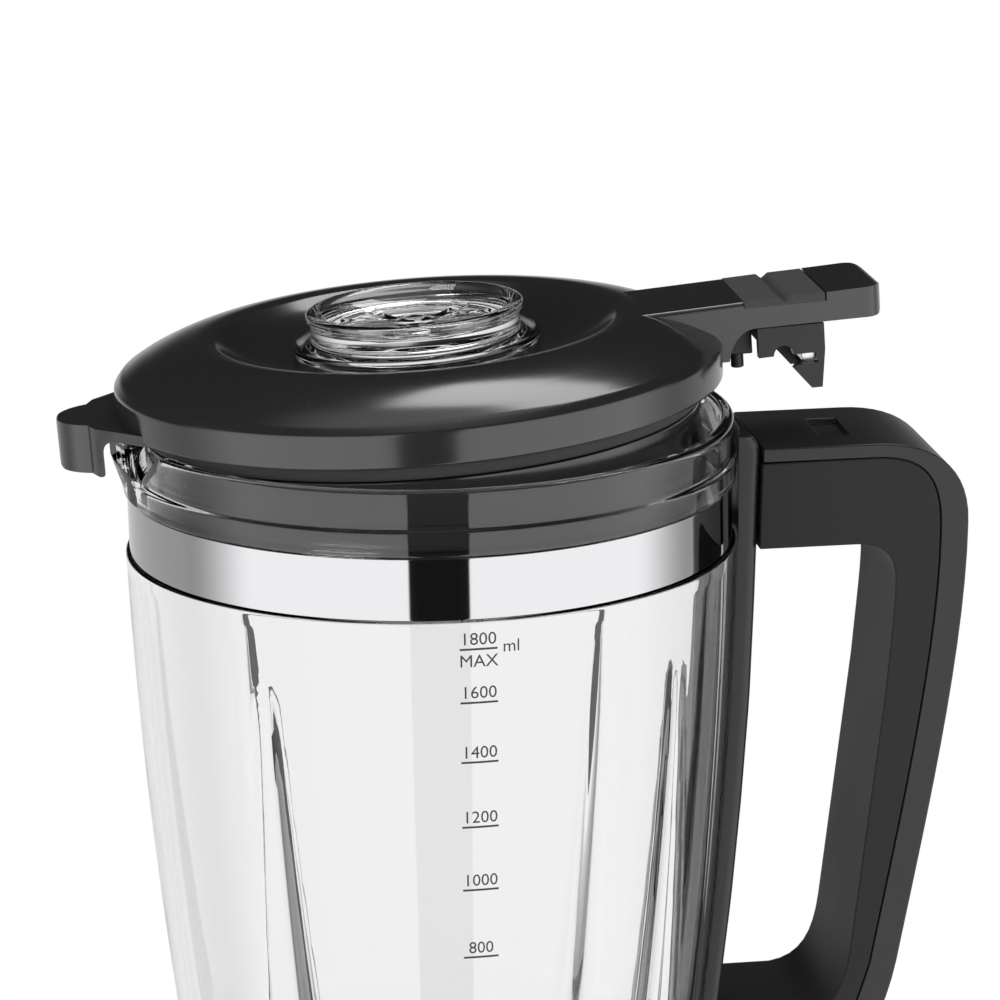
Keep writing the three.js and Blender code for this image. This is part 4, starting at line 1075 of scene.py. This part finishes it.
def controlPanel():
    outline = roundedRect(base["panelHalfW"], base["panelHalfH"], base["corner"])
    bm = slab(outline, panel["front"], 8)
    for x in panel["buttonXs"]:
        key = block(x - 11.4, x + 11.4, -20, 20, panel["buttonZ"] - 4.4, panel["buttonZ"] + 4.4)
        bm = boolean(bm, key, "DIFFERENCE")
    for radius, low, high in ((6.4, -20, 20), (25.3, -1.6, 8.0)):
        hole = spun([(0, low), (radius, low), (radius, high), (0, high)], 96, closed=False)
        hole.transform(Matrix.Translation((0, 0, panel["knobZ"])) @ Matrix.Rotation(math.pi / 2, 4, "X"))
        bm = boolean(bm, hole, "DIFFERENCE")
    piece = makePiece("controlPanel", bm, panelPlace, glossBlack, "base", ["control_panel"])
    softEdges(piece, 0.6, 3, 60)


def panelPrint():
    # Ticks round the knob, with a figure at either end, in pale ink.
    tick = block(0, 2.6, -0.28, 0.28, -0.03, 0.03)
    ticks = repeated(tick, setAround, paleInk, Count=panel["ticks"], Radius=27.2, Start=math.radians(-45),
                     Sweep=math.radians(270))
    parts = [ticks]
    for word, angle in (("0", 225), ("10", -45)):
        mark = letters(word, 3.8)
        mark.transform(Matrix.Translation((33.4 * math.cos(math.radians(angle)),
                                           33.4 * math.sin(math.radians(angle)) + 1, 0)))
        parts.append(mark)
    bm = merged(*parts)
    bm.transform(Matrix.Translation((0, panel["front"] - 0.04, panel["knobZ"]))
                 @ Matrix.Rotation(math.pi / 2, 4, "X"))
    makePiece("panelPrint", bm, panelPlace, paleInk, "base")


knob = {"radius": 20.4, "top": 16.4, "ribs": 60}


def speedKnob():
    toKnob = Matrix.Translation((0, -2.1, panel["knobZ"])) @ Matrix.Rotation(math.pi / 2, 4, "X")
    profile = filleted([(0, -14), (6, -14, 0.4), (6, 0.6, 0.2), (20.6, 0.6, 0.3),
                        (knob["radius"], 2.4, 0.6), (19.2, 14.6, 1.8), (17.0, 16.3, 0.8),
                        (15.5, 15.9, 1.5), (0, 15.4)], closed=False)
    cap = spun(profile, 160, closed=False)
    rib = block(-0.35, 0.35, -0.42, 0.42, 2.6, 13.6, 0.2, 1)
    for v in rib.verts:
        v.co.x -= (v.co.z - 2.6) * 0.095
    ribs = repeated(rib, setAround, satinBlack, Count=knob["ribs"], Radius=knob["radius"] - 0.05, Start=0.0,
                    Sweep=2 * math.pi * (1 - 1 / knob["ribs"]))
    bm = merged(cap, ribs)
    bm.transform(toKnob)
    makePiece("speedKnob", bm, panelPlace, satinBlack, "knob", ["speed_knob"])
    pointer = block(-0.7, 0.7, 8.5, 16.0, 15.3, 16.0, 0.25)
    pointer.transform(Matrix.Rotation(math.radians(135), 4, "Z"))
    pointer.transform(toKnob)
    makePiece("knobPointer", pointer, panelPlace, paleInk, "knob")
    ring = filleted([(21.6, 0), (25, 0), (25, 2.6, 0.5), (23.6, 3.6, 0.6), (21.6, 3.6, 0.3)])
    bm = spun(ring, 128)
    bm.transform(Matrix.Translation((0, -1.9, panel["knobZ"])) @ Matrix.Rotation(math.pi / 2, 4, "X"))
    makePiece("knobRing", bm, panelPlace, mirrorSteel, "base", ["knob_ring"])


def panelButtons():
    for name, x in zip(("pulse", "ice", "smoothie"), panel["buttonXs"]):
        bm = block(x - 11, x + 11, -4.6, 6, panel["buttonZ"] - 4, panel["buttonZ"] + 4, 0.9, 4)
        makePiece(name + "Button", bm, panelPlace, satinSteel, name + "_key",
                  ["button_" + name])
        word = letters(name.upper(), 3.2)
        word.transform(Matrix.Translation((x, -4.62, panel["buttonZ"] - 1.1))
                       @ Matrix.Rotation(math.pi / 2, 4, "X"))
        makePiece(name + "Word", word, panelPlace, printInk, name + "_key")


def cordGland():
    corners = [(3.8, -12), (7.9, -12), (7.9, 1.2, 0.3), (10.5, 1.4, 0.4), (10.5, 4, 0.6)]
    for k in range(5):
        z = 5.0 + 2.1 * k
        r = 9.6 - 0.62 * k
        corners += [(r - 1.2, z, 0.2), (r - 1.2, z + 0.8, 0.2), (r, z + 0.9, 0.3), (r - 0.3, z + 1.9, 0.3)]
    corners += [(6.0, 16, 0.5), (3.8, 16)]
    bm = spun(filleted(corners, steps=3), 72)
    bm.transform(Matrix.Translation((0, housingHalf(24), 24)) @ Matrix.Rotation(-math.pi / 2, 4, "X"))
    makePiece("cordGland", bm, tableFrame, darkRubber, "base", ["cord_gland"])


def jugCollar():
    profile = filleted([(56.2, 152), (61, 152, 0.6), (61.5, 153), (61.5, 161, 0.8), (66.6, 163.5, 1.5),
                        (67.2, 166, 1.2), (65.2, 182), (62.4, 196, 1.0), (61.2, 196.8, 0.4),
                        (60.4, 196, 0.4), (61.2, 186), (57.6, 184.6), (57.6, 177), (50, 177), (50, 172.5),
                        (56.2, 170)])
    collar = spun(profile, 200)
    rib = block(-0.5, 0.7, -1.2, 1.2, 168, 180, 0.45, 2)
    for v in rib.verts:
        v.co.x -= (v.co.z - 168) * 0.125
    ribs = repeated(rib, setAround, satinBlack, Count=48, Radius=66.75, Start=0.0, Sweep=2 * math.pi * 47
                    / 48)
    makePiece("jugCollar", merged(collar, ribs), tableFrame, satinBlack, "jug", ["jug_collar"])


def bladeUnit():
    holder = filleted([(7.4, 169), (13, 169, 1), (15, 176.6, 2), (24, 177.5, 1), (55, 177.5),
                       (55, 182.5, 0.4), (45.4, 182.5, 0.6), (43.6, 186, 1.5), (30, 186.5, 3),
                       (15, 189, 3), (11, 192.6, 1), (7.4, 192.6, 0.4)])
    makePiece("bladeHolder", spun(holder, 160), tableFrame, satinSteel, "jug",
              ["blade_holder"])
    gasket = filleted([(46.6, 182.8, 0.5), (55, 182.8, 0.5), (55, 184.7, 0.5), (46.6, 184.7, 0.5)])
    makePiece("jugGasket", spun(gasket, 128), tableFrame, darkRubber, "jug", ["jug_gasket"])


def carriedOver(nodeName, name, material, body, width=0.25):
    # A copy of the frame's own mesh with its edges eased.
    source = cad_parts[nodeName]
    bm = bmesh.new()
    bm.from_mesh(source.data)
    bm.transform(source.matrix_world)
    bmesh.ops.remove_doubles(bm, verts=bm.verts, dist=1e-6)
    bmesh.ops.dissolve_limit(bm, angle_limit=math.radians(0.5), verts=bm.verts, edges=bm.edges)
    mesh = bpy.data.meshes.new(name)
    bm.to_mesh(mesh)
    bm.free()
    mesh.materials.clear()
    mesh.materials.append(material)
    piece = bpy.data.objects.new(name, mesh)
    bpy.context.scene.collection.objects.link(piece)
    mesh.shade_smooth()
    mesh.set_sharp_from_angle(angle=math.radians(30))
    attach(piece, body)
    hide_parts(nodeName)
    return softEdges(piece, width)


def innerWorks():
    for name, label, body, material, slotName in (
            ("blade_lower", "bladeLower", "blades", satinSteel, "polished_steel"),
            ("blade_upper", "bladeUpper", "blades", satinSteel, "polished_steel"),
            ("blade_nut", "bladeNut", "blades", satinSteel, "polished_steel")):
        carriedOver(name, label, material, body)
    finishes = {matteBlack: ("bottom_cover", "dial_switch", "jug_sensor", "cooling_fan", "drive_coupling",
                             "driven_coupling"), boardGreen: ("circuit_board",),
                copperWire: ("winding_upper", "winding_lower", "commutator"),
                laminatedSteel: ("motor_stator", "motor_bracket_upper", "motor_bracket_lower",
                                 "armature"), satinSteel: ("bearing_upper", "bearing_lower",
                                                           "motor_shaft", "handle_screw_1",
                                                           "handle_screw_2", "jug_magnet", "blade_bush",
                                                           "blade_shaft"),
                darkRubber: ("brush_holder_left", "brush_holder_right")}
    for material, names in finishes.items():
        for name in names:
            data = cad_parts[name].data
            data.materials.clear()
            data.materials.append(material)


jugGlass()
scaleMarks()
steelBand()
jugSpine()
handlePieces()
lidShell()
lidTab()
lidPlug()
lidArm()
latchHook()
fillerCap()
print("jug, handle and lid ready")
baseHousing()
baseDeck()
baseFeet()
coverScrews()
controlPanel()
panelPrint()
speedKnob()
panelButtons()
cordGland()
jugCollar()
bladeUnit()
innerWorks()
print("base and blade unit ready")
